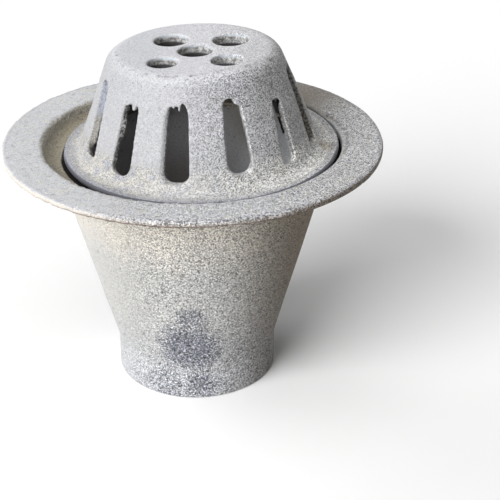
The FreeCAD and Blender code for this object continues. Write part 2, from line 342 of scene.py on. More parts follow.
# %% Outlet body from its section
BODY_AROUND = 500
FINE_STEP = 1.55
WALL_STEP = 2
UNDER_STEP = 3
COARSE_STEP = 6
FUNNEL_HEIGHT = LEDGE_LEVEL - SPIGOT_LENGTH


def body_step(radius, level):
    """Short steps on the flange and the seat, longer ones below them and long ones inside the funnel."""
    up_funnel = max(level - SPIGOT_LENGTH, 0) / FUNNEL_HEIGHT
    wall_inside = BORE_RADIUS + 3 + (FUNNEL_MOUTH - BORE_RADIUS) * up_funnel
    if radius < wall_inside and level < LEDGE_LEVEL - 2:
        return COARSE_STEP
    if level < CUP_UNDER + 1:
        return WALL_STEP
    return UNDER_STEP if radius > CUP_RADIUS and level < FLANGE_UNDER + 1 else FINE_STEP


body_corners = (
    (SPIGOT_RADIUS, 0, 0.8),
    (SPIGOT_RADIUS, SPIGOT_LENGTH, 30),
    (FUNNEL_FACE, CUP_UNDER, 2.5),
    (CUP_RADIUS, CUP_UNDER, 2.5),
    (CUP_RADIUS, FLANGE_UNDER, 2.5),
    (FLANGE_RADIUS, FLANGE_UNDER, 1.6),
    (FLANGE_RADIUS, FLANGE_TOP, 1.8),
    (RECESS_MOUTH, FLANGE_TOP, 3),
    (RECESS_FOOT, LEDGE_LEVEL, 1.2),
    (FUNNEL_MOUTH, LEDGE_LEVEL, 1.5),
    (BORE_RADIUS, SPIGOT_LENGTH, 30),
    (BORE_RADIUS, 0, 0.8),
)
body_section = even_steps(rounded_section(body_corners), body_step)
body = spin("outlet_body_skin", body_section, BODY_AROUND)
print("Outlet body:", len(body_section), "rings and", len(body.data.polygons), "faces")

# %% [markdown]
# ## Strainer blank
# The strainer starts as a blank without openings: a flat brim, a leaning dome wall and a level crown.
# It is turned in its own frame with the brim's underside at level zero, because its slots and vents
# are measured from there. It is laid askew in the seat at the end.

# %% Strainer blank
BRIM_RADIUS = 90.6
BRIM_THICKNESS = 4.5
DOME_FOOT = 79.5
DOME_TOP = 54.6
CROWN_LEVEL = 69.7
WALL = 5
LEAN_PER_MM = (DOME_FOOT - DOME_TOP) / (CROWN_LEVEL - BRIM_THICKNESS)
LEVEL_WALL = WALL * math.hypot(1, LEAN_PER_MM)
BLANK_AROUND = 360
BLANK_STEP = 2.5


def dome_radius(level):
    """Outside radius of the dome's straight wall at a level."""
    return DOME_FOOT - LEAN_PER_MM * (level - BRIM_THICKNESS)


blank_corners = (
    (BRIM_RADIUS, 0, 1.5),
    (BRIM_RADIUS, BRIM_THICKNESS, 2.2),
    (DOME_FOOT, BRIM_THICKNESS, 8),
    (DOME_TOP, CROWN_LEVEL, 10.2),
    (0, CROWN_LEVEL, 0),
    (0, CROWN_LEVEL - WALL, 0),
    (dome_radius(CROWN_LEVEL - WALL) - LEVEL_WALL, CROWN_LEVEL - WALL, 6.7),
    (dome_radius(0) - LEVEL_WALL, 0, 1.5),
)
blank_section = even_steps(rounded_section(blank_corners), lambda radius, level: BLANK_STEP)
strainer = spin("dome_strainer_skin", blank_section, BLANK_AROUND)
print("Strainer blank:", len(strainer.data.polygons), "faces")

# %% [markdown]
# ## Slots
# Twelve slots run up the dome wall, wide at the foot and narrower at the head. The moulder's cores were
# worn, so no two slots are alike: turns and widths wander, the sides are ragged, and thin teeth of
# metal hang at some heads where the core had crumbled. Each slot is a loose outline pushed through the
# wall, and a Boolean modifier takes them all away in one cut. First come the small forms of an outline.

# %% Corners, teeth and rough edges
OUTLINE_STEP = 0.35
SLOT_RAGGED = 0.3


def corner_drop(across, half_width, corner):
    """How far a round corner pulls the end of a slot back at a place across it."""
    past = max(abs(across) - (half_width - corner), 0)
    return corner - math.sqrt(max(corner * corner - past * past, 0))


def tooth(place, middle, width, length):
    """Reach of a blunt tooth of metal at a place along an edge."""
    part = 1 - abs(place - middle) / (width / 2 + OUTLINE_STEP)
    return length * min(max(part * 2.2, 0), 1)


def roughen_outline(points, ragged, seed):
    rough = []
    for across, level in points:
        spot = Vector((across * 0.55, level * 0.55, seed * 9.1))
        push = noise.noise_vector(spot) * 0.7 + noise.noise_vector(spot * 2.7) * 0.3
        rough.append((across + push.x * ragged, level + push.y * ragged * 0.8))
    return rough


print("A tooth of 4 mm reaches", tooth(0, 0, 2, 4), "mm at its middle and", tooth(2, 0, 2, 4), "mm beside it")

# %% [markdown]
# An outline is walked once round: along the foot, up the right side, back along the head and down the
# left side. It stays flat here, as places across the slot and levels, because the slope of the wall is
# only added when the outline is set on it. What makes one slot unlike another is a short list of changes.

# %% Outline of one slot
# Widths and levels of the foot and the head, how far the head leans to the right, the two corner radii, how
# wide and deep the left edge is broken, how much wider the left side is inside the wall, how far the foot
# sinks inside the wall, and the teeth and burrs.
PLAIN_SLOT = dict(foot=(15.4, 10.6), head=(11.6, 56.6), lean=0, foot_corner=5.2, head_corner=4.4,
                  head_arch=1, bevel=0.5, bevel_depth=1.3, wider=0, sink=0, teeth=(), burrs=())


def slot_outline(slot, seed, burrs=()):
    """Closed outline in (across, level). Teeth hang from the head and are (place across, width, length).
    Burrs stand on a side and are (side, level, width, length)."""
    foot_half, foot_level = slot["foot"][0] / 2, slot["foot"][1]
    head_half, head_level = slot["head"][0] / 2, slot["head"][1]
    points = []
    for place in np.arange(-foot_half, foot_half, OUTLINE_STEP):
        points.append((place, foot_level + corner_drop(place, foot_half, slot["foot_corner"])))
    low, high = foot_level + slot["foot_corner"], head_level - slot["head_corner"]
    rises = np.arange(low, high, OUTLINE_STEP * 2)

    def edge(side, level):
        half = foot_half + (head_half - foot_half) * (level - low) / (high - low)
        half -= sum(tooth(level, burr[1], burr[2], burr[3]) for burr in burrs if burr[0] == side)
        return side * half, level

    points += [edge(1, level) for level in rises]
    for place in np.arange(head_half, -head_half, -OUTLINE_STEP):
        drop = corner_drop(place, head_half, slot["head_corner"]) * slot["head_arch"]
        points.append((place, head_level - drop - sum(tooth(place, *one) for one in slot["teeth"])))
    points += [edge(-1, level) for level in rises[::-1]]
    tall = head_level - foot_level
    leaning = [(across + slot["lean"] * (level - foot_level) / tall, level) for across, level in points]
    return roughen_outline(leaning, SLOT_RAGGED, seed)


print("A plain slot outline has", len(slot_outline(PLAIN_SLOT, 1)), "points")

# %% [markdown]
# The eleven open slots, counted round from the left. A row only says what differs from the plain slot.
# The slots on the far side can't be told one from another, so they wander about as much as the near ones.

# %% The open slots, one by one
SLOTS = (
    dict(turn=-65.9, foot=(12.6, 12.4), head=(10.4, 57), lean=-5.6, foot_corner=2.4, wider=-3, sink=5,
         burrs=((-1, 7, 25, -6),)),
    dict(turn=-40.6, foot=(14.1, 10), head=(10.8, 52.9), lean=1, foot_corner=6, bevel=0.7, wider=0.7,
         sink=1.6, teeth=((-2.4, 4.6, 1.7), (1.5, 3.4, 4.6)),
         burrs=((-1, 36, 11, 1.9), (-1, 28.5, 4, 1.2), (-1, 23, 3.4, 0.8), (-1, 18, 3, 0.7),
                (-1, 47, 5, 0.7))),
    dict(turn=-11.1, foot=(15.6, 10), head=(12, 56.4), lean=1.0, foot_corner=6, head_corner=6,
         head_arch=1.7, bevel=3.2, bevel_depth=2.4, teeth=((-2.4, 1.4, 3.4), (0.6, 1.8, 6.0)),
         burrs=((1, 36, 1.4, 1.0),)),
    dict(turn=20.4, foot=(15.5, 13.2), head=(10.2, 55.6), lean=0.5, foot_corner=6.8, head_corner=4,
         bevel=1.8, bevel_depth=1.8, teeth=((2.9, 3.4, 3.6),)),
    dict(turn=74.4, foot=(14.2, 9.4), head=(12.6, 57), lean=8.5, foot_corner=2.2),
    dict(turn=108, teeth=((0.8, 1.4, 3.4),)),
    dict(turn=139, foot=(16, 10.6), head=(12, 55), burrs=((-1, 40, 3, 1.0),)),
    dict(turn=168, foot=(15.2, 11.2), teeth=((-1.8, 1.6, 2.8), (2.4, 1.3, 3.6))),
    dict(turn=198, foot=(16.4, 10.6), head=(11.8, 54.5), lean=-0.6),
    dict(turn=228, foot=(15.6, 10), foot_corner=5.8, teeth=((-2.6, 1.5, 3.2),)),
    dict(turn=258, foot=(15, 10.6), head=(12, 55.6), lean=0.5, burrs=((-1, 30, 4, 1.1),)),
)
print(len(SLOTS), "open slots, with", sum(len(slot.get("teeth", ())) for slot in SLOTS), "teeth")

# %% [markdown]
# A cutter is a closed tube through a few outlines. The inner ones stand inside the dome and at the
# inside of its wall, the next where the mould's edge broke off, and the last ones outside. So one
# outline may be ragged inside the wall and another one broken outside, and the cut joins them.

# %% Tubes through the wall
CUT_TO = 105
CUTTER_DEPTH = 14
CUTTER_LIFT = 0.3
INNER_RAGGED = 1.1
SINK_BELOW = 26
SINK_OVER = 14


def add_prism(shape, rings):
    """A closed tube through outlines with the same number of points."""
    made = [[shape.verts.new(Vector(point) * MM) for point in ring] for ring in rings]
    count = len(made[0])
    for here, following in zip(made, made[1:]):
        for index in range(count):
            after = (index + 1) % count
            shape.faces.new((here[index], here[after], following[after], following[index]))
    shape.faces.new(made[0][::-1])
    shape.faces.new(made[-1])


def wall_ring(turn, outline, depth_at=None):
    """Places an outline at a depth under the dome's face, or at a plain reach from the axis."""
    angle = math.radians(turn)
    out = Vector((math.sin(angle), -math.cos(angle), 0))
    right = Vector((math.cos(angle), math.sin(angle), 0))
    ring = []
    for across, level in outline:
        reach = CUT_TO
        if depth_at is not None:
            reach = math.sqrt(dome_radius(level) ** 2 - across ** 2) - depth_at(across)
        ring.append(out * reach + right * across + Vector((0, 0, level)))
    return ring


def smooth_part(value):
    part = min(max(value, 0), 1)
    return part * part * (3 - 2 * part)


def shift_left(outline, shift, foot_width):
    """Moves the left side outwards and leaves the right side where it is."""
    return [(across - shift * smooth_part(-2 * across / foot_width), level) for across, level in outline]


def cut_slot(shape, number, turn, **changes):
    slot = {**PLAIN_SLOT, **changes}
    width = slot["foot"][0]
    outer = slot_outline(slot, number)
    broken = shift_left(outer, slot["bevel"], width)
    inner = shift_left(slot_outline(slot, number, slot["burrs"]), slot["wider"], width)
    inner = [(across, level - slot["sink"] * smooth_part((SINK_BELOW - level) / SINK_OVER))
             for across, level in inner]
    inner = roughen_outline(inner, INNER_RAGGED if slot["wider"] > 0 else SLOT_RAGGED, number + 40)
    add_prism(shape, [wall_ring(turn, inner, lambda across: CUTTER_DEPTH),
                      wall_ring(turn, inner, lambda across: WALL),
                      wall_ring(turn, outer, lambda across: slot["bevel_depth"]),
                      wall_ring(turn, broken, lambda across: -CUTTER_LIFT),
                      wall_ring(turn, broken)])


print("A slot's cutter reaches from", CUTTER_DEPTH, "mm under the dome's face to a radius of", CUT_TO, "mm")

# %% [markdown]
# Thin metal has run in front of one core and nearly closed its slot. Such a film could be a sheet of its
# own, but it is one metal with the dome. So the slot is only sunk into the wall, deeper on its right,
# and a slit is cut along its right edge, where the metal did not reach.

# %% The slot with a film, and its slit
FILM_SLOT = dict(PLAIN_SLOT, turn=48.5, foot=(12.6, 10.2), head=(7.2, 47.6), lean=4.4, head_corner=2.8)
FILM_SHIFT = -1.3
FILM_DEPTHS = (0.3, 3.2)
FILM_SEED = 20
SLIT = ((2.9, 26.6), (4.3, 26.6), (4.3, 30.5), (4.6, 35.0), (5.2, 39.6), (6.2, 42.9), (7.9, 45.4), (7.1, 46.2),
        (4.7, 43.9), (3.5, 46.6), (2.3, 46.2), (2.3, 42.5), (2.3, 38.3), (2.8, 34.5), (2.9, 30.0))
SLIT_DEPTH = 2.5
SLIT_TURN = 12
SLIT_CUT_IN = 12
SLIT_CUT_OUT = 5


def cut_film_slot(shape):
    """Sinks the film's slot into the wall and opens its slit."""
    turn = FILM_SLOT["turn"]
    outline = [(across + FILM_SHIFT, level) for across, level in slot_outline(FILM_SLOT, FILM_SEED)]
    half = FILM_SLOT["foot"][0] / 2
    shallow, deep = FILM_DEPTHS

    def film_depth(across):
        return shallow + (deep - shallow) * min(max((across - FILM_SHIFT) / half / 2 + 0.5, 0), 1.1)

    add_prism(shape, [wall_ring(turn, outline, film_depth), wall_ring(turn, outline)])
    face = wall_ring(turn, SLIT, lambda across: SLIT_DEPTH)
    angle = math.radians(SLIT_TURN)
    out = Vector((math.sin(angle), -math.cos(angle), 0))
    add_prism(shape, [[point - out * SLIT_CUT_IN for point in face],
                      [point + out * SLIT_CUT_OUT for point in face]])


print("The film lies from", FILM_DEPTHS[0], "to", FILM_DEPTHS[1], "mm under the dome's face")

# %% [markdown]
# ## Vents
# Five round vents go through the crown. Their edges wobble a little and are broken at the top. Under
# the crown, metal ran down round each one and set as a short collar. The collars are added before the
# cut, so that the vents go through them too.

# %% Vents and their collars
# Place right of the dome's middle, place behind it, and diameter.
VENTS = (
    (1.0, -4.6, 21.7),
    (-14.4, 17.5, 21.9),
    (24.1, 12.9, 22.6),
    (-19.6, -23.8, 18.6),
    (20.5, -24.9, 19.2),
)
VENT_CORNERS = 72
VENT_WOBBLE = 0.25
VENT_BEVEL = 0.8
VENT_LEVELS = (56, CROWN_LEVEL - 0.9, CROWN_LEVEL + 0.3, 80)
VENT_WIDER = (0, 0, VENT_BEVEL, VENT_BEVEL)
COLLAR_WIDTH = 1.9
COLLAR_DROP = 4.4
COLLAR_WOBBLE = 0.5


def round_vent(number, wave, seed):
    """The directions round a vent, as cosine and sine, each with a wobble from -1 to 1."""
    for corner in range(VENT_CORNERS):
        angle = 2 * math.pi * corner / VENT_CORNERS
        spot = Vector((math.cos(angle) * wave, math.sin(angle) * wave, number * seed))
        yield math.cos(angle), math.sin(angle), noise.noise(spot)


def cut_vent(shape, number, right_of, behind, diameter):
    rings = [[] for level in VENT_LEVELS]
    for cosine, sine, wobble in round_vent(number, 1.4, 5.3):
        reach = diameter / 2 + VENT_WOBBLE * wobble
        for ring, level, wider in zip(rings, VENT_LEVELS, VENT_WIDER):
            ring.append(Vector((right_of + (reach + wider) * cosine, behind + (reach + wider) * sine, level)))
    add_prism(shape, rings)


def add_collar(shape, number, right_of, behind, diameter):
    """Metal that ran down round a vent, under the crown."""
    top, foot = [], []
    for cosine, sine, wobble in round_vent(number, 1.9, 3.7):
        reach = diameter / 2 + COLLAR_WIDTH + COLLAR_WOBBLE * wobble
        x, y = right_of + reach * cosine, behind + reach * sine
        top.append(Vector((x, y, CROWN_LEVEL - 2)))
        foot.append(Vector((x, y, CROWN_LEVEL - WALL - COLLAR_DROP * (1 + COLLAR_WOBBLE * wobble))))
    add_prism(shape, [foot, top])


openings = bmesh.new()
cut_film_slot(openings)
for number, slot in enumerate(SLOTS):
    cut_slot(openings, number + 1, **slot)
metal = bmesh.new()
for number, vent in enumerate(VENTS):
    cut_vent(openings, number, *vent)
    add_collar(metal, number, *vent)
cutters = piece_from(openings, "cutters")
collars = piece_from(metal, "collars")
print("Cutters for", len(SLOTS) + 1, "slots and", len(VENTS), "vents")

# %% [markdown]
# ## Cutting and remeshing the strainer
# After the cut, the faces are long and uneven. A voxel Remesh modifier wraps the strainer in small even
# faces, and a Smooth modifier takes the stepped look off the edges and rounds them as a casting's
# edges are. The modifiers are applied by reading the evaluated mesh back.

# %% Cut, remesh and smooth
VOXEL = 0.9
EDGE_SOFTENING = 0.5


def apply_modifiers(piece):
    graph = bpy.context.evaluated_depsgraph_get()
    graph.update()
    finished = bpy.data.meshes.new_from_object(piece.evaluated_get(graph))
    old = piece.data
    piece.modifiers.clear()
    piece.data = finished
    bpy.data.meshes.remove(old)
    finished.name = piece.name


join = strainer.modifiers.new("vent_collars", "BOOLEAN")
join.operation = "UNION"
join.solver = "EXACT"
join.object = collars
cut = strainer.modifiers.new("openings", "BOOLEAN")
cut.operation = "DIFFERENCE"
cut.solver = "EXACT"
cut.use_self = True
cut.object = cutters
wrap = strainer.modifiers.new("even_faces", "REMESH")
wrap.mode = "VOXEL"
wrap.voxel_size = VOXEL * MM
ease = strainer.modifiers.new("soft_edges", "SMOOTH")
ease.factor = EDGE_SOFTENING
ease.iterations = 2
apply_modifiers(strainer)
bpy.data.objects.remove(cutters)
bpy.data.objects.remove(collars)
print("Strainer:", len(strainer.data.polygons), "faces after remeshing")

# %% [markdown]
# The small faces are wasted on the inside of the dome, which only shows as shade through the slots. A
# Decimate modifier joins them there, and a vertex group keeps it away from the walls of the slots.

# %% Thin out the inside
FACES_KEPT = 0.7


def thin_inside():
    """Joins small faces inside the dome, where the eye hardly reaches."""
    inside = strainer.vertex_groups.new(name="inside")
    hidden = []
    for vertex in strainer.data.vertices:
        radius = math.hypot(vertex.co.x, vertex.co.y) / MM
        level = vertex.co.z / MM
        away_from_slots = level < 6 or radius < dome_radius(level) - LEVEL_WALL + 1
        if away_from_slots and level < CROWN_LEVEL - WALL + 0.8:
            hidden.append(vertex.index)
    inside.add(hidden, 1, "REPLACE")
    thin = strainer.modifiers.new("thin_inside", "DECIMATE")
    thin.ratio = FACES_KEPT
    thin.vertex_group = inside.name
    apply_modifiers(strainer)
    strainer.vertex_groups.clear()


thin_inside()
print("Strainer:", len(strainer.data.polygons), "faces after thinning its inside")

# %% [markdown]
# ## Working on all points at once
# From here on, the skins are shaped point by point. numpy does that on whole columns of points, which
# is far quicker than a loop. A mark is a value kept on each point, and the material reads it later.

# %% Points in and out
def read_points(piece):
    points = np.empty(len(piece.data.vertices) * 3)
    piece.data.vertices.foreach_get("co", points)
    return points.reshape(-1, 3) / MM


def write_points(piece, points):
    piece.data.vertices.foreach_set("co", (points * MM).ravel())
    piece.data.update()


def read_normals(piece):
    normals = np.empty(len(piece.data.vertices) * 3)
    piece.data.vertices.foreach_get("normal", normals)
    return normals.reshape(-1, 3)


def radius_and_turn(points, centre=(0, 0)):
    """Distance from an upright axis, and the turn round it in degrees from the front."""
    away = points[:, :2] - np.array(centre)
    return np.hypot(away[:, 0], away[:, 1]), np.degrees(np.arctan2(away[:, 0], -away[:, 1]))


def smooth_rise(values, low, high):
    """0 below low, 1 above high and a smooth rise between them."""
    part = np.clip((values - low) / (high - low), 0, 1)
    return part * part * (3 - 2 * part)


def mark(piece, name, values):
    """Keeps a value from 0 to 1 on each point of a piece, for its finish to read."""
    made = piece.data.attributes.new(name, "FLOAT", "POINT")
    made.data.foreach_set("value", np.clip(values, 0, 1))


print("Points on the strainer:", len(read_points(strainer)), "and on the body:", len(read_points(body)))

# %% [markdown]
# ## The rough skin
# Molten metal copies the grains of the sand mould, so no face of a casting is smooth. The skin here is
# pressed in along the points' normals, never out, so that the castings keep their size. It is made of
# slow waves, coarse grain and scattered gas pits. The finest grain is left to the material's bump.

# %% Noise helpers
def waves(points, width, seed):
    """Smooth noise from -1 to 1, with bumps about as wide as width."""
    spots = (points / width + seed * 31.7).tolist()
    return np.array([noise.noise(Vector(spot)) for spot in spots])


def lumps(points, width, seed):
    """Noise for pressing in: 0 at the high places, 0.45 on average."""
    return np.maximum(0.45 + waves(points, width, seed), 0)


def pits(points, spacing, radius, share, seed):
    """Round hollows from 0 to 1: one in each cell of a spacing, in a share of the cells."""
    depth = np.zeros(len(points))
    for index, spot in enumerate((points / spacing + seed * 17.3).tolist()):
        distances, centres = noise.voronoi(Vector(spot))
        if distances[0] * spacing < radius and noise.cell(centres[0] * 7.7) < 2 * share - 1:
            depth[index] = 1 - (distances[0] * spacing / radius) ** 2
    return depth


def crease(points, centre, line, width, seed):
    """1 along a line given by its turns and radii round a centre, broken up by noise."""
    reach, turn = radius_and_turn(points, centre)
    turns, radii = np.array(line).T
    radius = np.interp(turn, turns, radii) + 0.5 * waves(points, 5, seed)
    ends = smooth_rise(turn, turns[0], turns[0] + 8) * smooth_rise(-turn, -turns[-1], 8 - turns[-1])
    near = 1 - smooth_rise(np.abs(reach - radius), 0, width)
    broken = smooth_rise(waves(points, 4, seed + 1), -0.45, 0.15)
    return near * ends * broken


def press_in(piece, depth, hollow):
    """Presses the skin in, and keeps how hollow each point is for the piece's finish."""
    points, normals = read_points(piece), read_normals(piece)
    write_points(piece, points - normals * depth[:, None])
    mark(piece, "hollow", hollow)


print("Noise at one point:", round(float(waves(np.array([[1.0, 2.0, 3.0]]), 5, 1)[0]), 3))

# %% [markdown]
# ## Marks on the strainer
# The skin of the dome, the faces cut through its wall and the thin film don't look alike, because the
# sand only touched some of them. They are told apart now, while the strainer is still square to its
# axis and every slot has its plain place.

# %% Marks of the film and of the cut faces
def film_share(points, normals):
    """1 on the smooth film that fills a slot, and 0 elsewhere."""
    turn, foot, head = math.radians(FILM_SLOT["turn"]), FILM_SLOT["foot"], FILM_SLOT["head"]
    middle = FILM_SHIFT + FILM_SLOT["lean"] * (points[:, 2] - foot[1]) / (head[1] - foot[1])
    across = points[:, 0] * math.cos(turn) + points[:, 1] * math.sin(turn) - middle
    below = dome_radius(points[:, 2]) - np.hypot(points[:, 0], points[:, 1])
    faces_out = normals[:, 0] * math.sin(turn) - normals[:, 1] * math.cos(turn)
    within = (np.abs(across) < foot[0] / 2) & (points[:, 2] > foot[1]) & (points[:, 2] < head[1])
    within &= points[:, 0] * math.sin(turn) > points[:, 1] * math.cos(turn)
    return within * smooth_rise(below, 0.15, 1.2) * smooth_rise(faces_out, 0.5, 0.8)


def cut_share(points, normals):
    """1 on the faces cut through the dome's wall or its crown, and 0 on its skin."""
    radius = np.hypot(points[:, 0], points[:, 1])
    below_face = dome_radius(points[:, 2]) - radius
    below_crown = CROWN_LEVEL - points[:, 2]
    below = np.minimum(below_face, np.where(below_crown > 0, below_crown, below_face))
    outward = (points[:, :2] * normals[:, :2]).sum(1) / np.maximum(radius, 1)
    looks_out = np.hypot(np.maximum(outward, 0), np.maximum(normals[:, 2], 0))
    outer_skin = (radius > 41) * smooth_rise(looks_out, 0.55, 0.8)
    above_foot = points[:, 2] > PLAIN_SLOT["foot"][1] - 3
    return smooth_rise(below, 0.7, 1.6) * (1 - smooth_rise(below, 4.4, 5.2)) * above_foot * (1 - outer_skin)


blank_points, blank_normals = read_points(strainer), read_normals(strainer)
cut_faces = cut_share(blank_points, blank_normals)
film = film_share(blank_points, blank_normals)
print("Cut faces hold", round(100 * float(cut_faces.mean())), "% of the strainer's points")

# %% [markdown]
# The slit is so narrow that a remeshed skin can't keep its edges crisp. Its outline therefore gives a
# mark of its own, and the finish turns that black. The mark is the distance of each point to the
# outline, seen along the direction in which the slit was cut.

# %% Mark of the slit
def distance_to_outline(spots, outline):
    """Distance from each spot to a closed outline, and 0 inside it."""
    nearest = np.full(len(spots), 1e9)
    inside = np.zeros(len(spots), bool)
    for here, following in zip(outline, outline[1:] + outline[:1]):
        here, following = np.array(here), np.array(following)
        run = following - here
        part = np.clip(((spots - here) @ run) / (run @ run), 0, 1)
        nearest = np.minimum(nearest, np.hypot(*(spots - here - part[:, None] * run).T))
        crosses = (here[1] > spots[:, 1]) != (following[1] > spots[:, 1])
        rise = run[1] if run[1] else 1e-9
        inside ^= crosses & (spots[:, 0] < here[0] + (spots[:, 1] - here[1]) * run[0] / rise)
    return np.where(inside, 0, nearest)


def slit_share(points):
    """1 in and along the slit beside the film."""
    angle = math.radians(SLIT_TURN)
    right = Vector((math.cos(angle), math.sin(angle), 0))
    face = wall_ring(FILM_SLOT["turn"], SLIT, lambda across: SLIT_DEPTH)
    corners = [(point.dot(right), point.z) for point in face]
    spots = np.stack([points @ np.array(right), points[:, 2]], axis=1)
    near_film = points[:, 0] * math.sin(angle) - points[:, 1] * math.cos(angle) > 30
    return near_film * (1 - smooth_rise(distance_to_outline(spots, corners), 0.1, 0.5))


slit = slit_share(blank_points)
film = film * (1 - slit)
mark(strainer, "slit", slit)
mark(strainer, "film", film)
mark(strainer, "cut", cut_faces * (1 - film))
print("The slit's mark holds", int((slit > 0.5).sum()), "points, and the film's", int((film > 0.5).sum()))

# %% [markdown]
# Two slots have a raised right edge that catches the light, and so do the far brinks of the vents. Such
# fine edges are thinner than the mesh, so they are marked along the lines on which they run, and the
# finish paints their highlights on them.

# %% Marks of painted highlights on edges
# Turn, width and level of the foot, width and level of the head, lean and shift of a slot with a raised edge.
RIDGE_AT_SLOT = (20.4, (15.5, 13.2), (10.2, 55.6), 0.5, 0)
RIDGE_AT_FILM = (FILM_SLOT["turn"], FILM_SLOT["foot"], FILM_SLOT["head"], FILM_SLOT["lean"], FILM_SHIFT)


def ridge_share(points):
    """1 along the raised right edges of two slots, where a highlight is painted."""
    total = np.zeros(len(points))
    for turn, foot, head, lean, shift in (RIDGE_AT_SLOT, RIDGE_AT_FILM):
        angle = math.radians(turn)
        part = (points[:, 2] - foot[1]) / (head[1] - foot[1])
        edge = shift + foot[0] / 2 + (head[0] - foot[0]) / 2 * part + lean * part
        away = points[:, 0] * math.cos(angle) + points[:, 1] * math.sin(angle) - edge
        outward = points[:, 0] * math.sin(angle) - points[:, 1] * math.cos(angle)
        depth = dome_radius(points[:, 2]) - np.hypot(points[:, 0], points[:, 1])
        along = smooth_rise(part, 0.05, 0.15) * (1 - smooth_rise(part, 1.0, 1.08))
        along = along * (outward > 0) * (depth < 1.2)
        total += along * smooth_rise(away, -0.6, 0.2) * (1 - smooth_rise(away, 0.6, 1.5))
    return total


def brink_share(points):
    """1 on the far brinks of the vents, where a blue highlight is painted."""
    total = np.zeros(len(points))
    for right_of, behind, diameter in VENTS:
        away = points[:, :2] - np.array((right_of, behind))
        reach = np.hypot(away[:, 0], away[:, 1]) - diameter / 2
        angle = np.degrees(np.arctan2(away[:, 1], away[:, 0]))
        far = smooth_rise(angle, 5, 45) * (1 - smooth_rise(angle, 110, 150))
        depth = CROWN_LEVEL - points[:, 2]
        bright = far * smooth_rise(waves(points, 3, 41), -0.5, 0.2)
        total += bright * smooth_rise(reach, -0.8, -0.2) * (1 - smooth_rise(reach, 0.1, 0.8)) * (depth < 2)
    return total


ridge_highlight = ridge_share(blank_points) * (1 - slit)
brink_highlight = brink_share(blank_points)
mark(strainer, "ridge_highlight", ridge_highlight)
mark(strainer, "brink_highlight", brink_highlight)
print("Raised edges hold", int((ridge_highlight > 0.5).sum()), "points, and bright brinks", int((brink_highlight > 0.5).sum()))

# %% [markdown]
# ## Laying the strainer in the seat
# The core that made the dome's hollow sat a little to the left and leaned, so the dome is not quite
# square to its brim. The whole strainer has then slid to the front right of the seat and leans on one
# edge. Both are small turns, and numpy does them on all the points at once.

# %% Lean the dome and lay the strainer in its seat
strainer_low, strainer_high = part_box("dome_strainer")
BRIM_MIDDLE = (strainer_low + strainer_high) / 2 / MM
BRIM_LEAN = math.radians(1.68)
BRIM_HIGH_SIDE = math.radians(42)
BRIM_FOOT_ROUND = 1.5
DOME_SHIFT = Vector((-1.4, 0, -0.4))
DOME_RIGHT_UP = math.radians(0.95)
DOME_BACK_UP = math.radians(-1.1)
DOME_MIDDLE = BRIM_MIDDLE + Vector((DOME_SHIFT.x, 0, 0))


def lean_dome(points):
    """Shifts and leans the dome. The rim of the brim stays where it is."""
    share = 1 - smooth_rise(np.hypot(points[:, 0], points[:, 1]), DOME_FOOT - 2, BRIM_RADIUS - 4)
    moved = points.copy()
    height = points[:, 2] - BRIM_THICKNESS
    moved[:, 0] += share * (DOME_SHIFT.x - height * math.sin(DOME_RIGHT_UP))
    moved[:, 1] += share * (DOME_SHIFT.y - height * math.sin(DOME_BACK_UP))
    inner = share * smooth_rise(height, 4, 40)
    moved[:, 2] += inner * (DOME_SHIFT.z + points[:, 0] * math.sin(DOME_RIGHT_UP)
                            + points[:, 1] * math.sin(DOME_BACK_UP))
    return moved


def lay_in_seat(points):
    """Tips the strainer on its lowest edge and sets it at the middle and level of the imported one."""
    lowest_edge = (BRIM_RADIUS - BRIM_FOOT_ROUND) * math.sin(BRIM_LEAN)
    roll = BRIM_FOOT_ROUND * (1 - math.cos(BRIM_LEAN))
    axis = Vector((math.sin(BRIM_HIGH_SIDE), -math.cos(BRIM_HIGH_SIDE), 0))
    turn = np.array(Matrix.Rotation(BRIM_LEAN, 3, axis))
    seat = np.array((BRIM_MIDDLE.x, BRIM_MIDDLE.y, strainer_low.z / MM + lowest_edge + roll))
    return points @ turn.T + seat


laid_points = lay_in_seat(lean_dome(read_points(strainer)))
write_points(strainer, laid_points)
print("Strainer lies between", np.round(laid_points.min(0), 1), "and", np.round(laid_points.max(0), 1))

# %% [markdown]
# ## Worn forms of the outlet body
# The spun body is too true. The mould's halves had shifted, so its flange is fuller at the back, most
# of all on the right. The points of the flange are moved outwards by a share that fades in round the
# axis, which leaves the seat as it was turned.

# %% A flange that is not quite round
EVEN_SWELL = 0.35
RIGHT_SWELL = 2.2
LEFT_SWELL = 0.9


def swell_flange(points):
    radius, turn = radius_and_turn(points)
    right = smooth_rise(turn, 88, 138) * (1 - smooth_rise(turn, 152, 176))
    left = smooth_rise(-turn, 90, 130) * (1 - smooth_rise(-turn, 150, 176))
    swell = EVEN_SWELL + RIGHT_SWELL * right + LEFT_SWELL * left
    share = smooth_rise(radius, RECESS_MOUTH + 4, FLANGE_RADIUS - 2) * (points[:, 2] > CUP_UNDER + 2)
    points[:, :2] *= (1 + share * swell / np.maximum(radius, 1))[:, None]


body_points = read_points(body)
swell_flange(body_points)
write_points(body, body_points)
print("Flange radius with its swell:", round(float(radius_and_turn(body_points)[0].max()), 2), "mm at most")

# %% [markdown]
# A wide rounding runs along the foot of the seat's wall, as a wooden pattern gets where its fillet is
# made with wax. It is left out at the front right, where the brim comes close to the wall and would cut
# into it. On the right, the mouth of the seat has also worn down to a soft slope.

# %% Seat rounding and worn lip
SEAT_ROUNDING = 5
LIP_FOOT = 97.6
LIP_DROP = 4.2


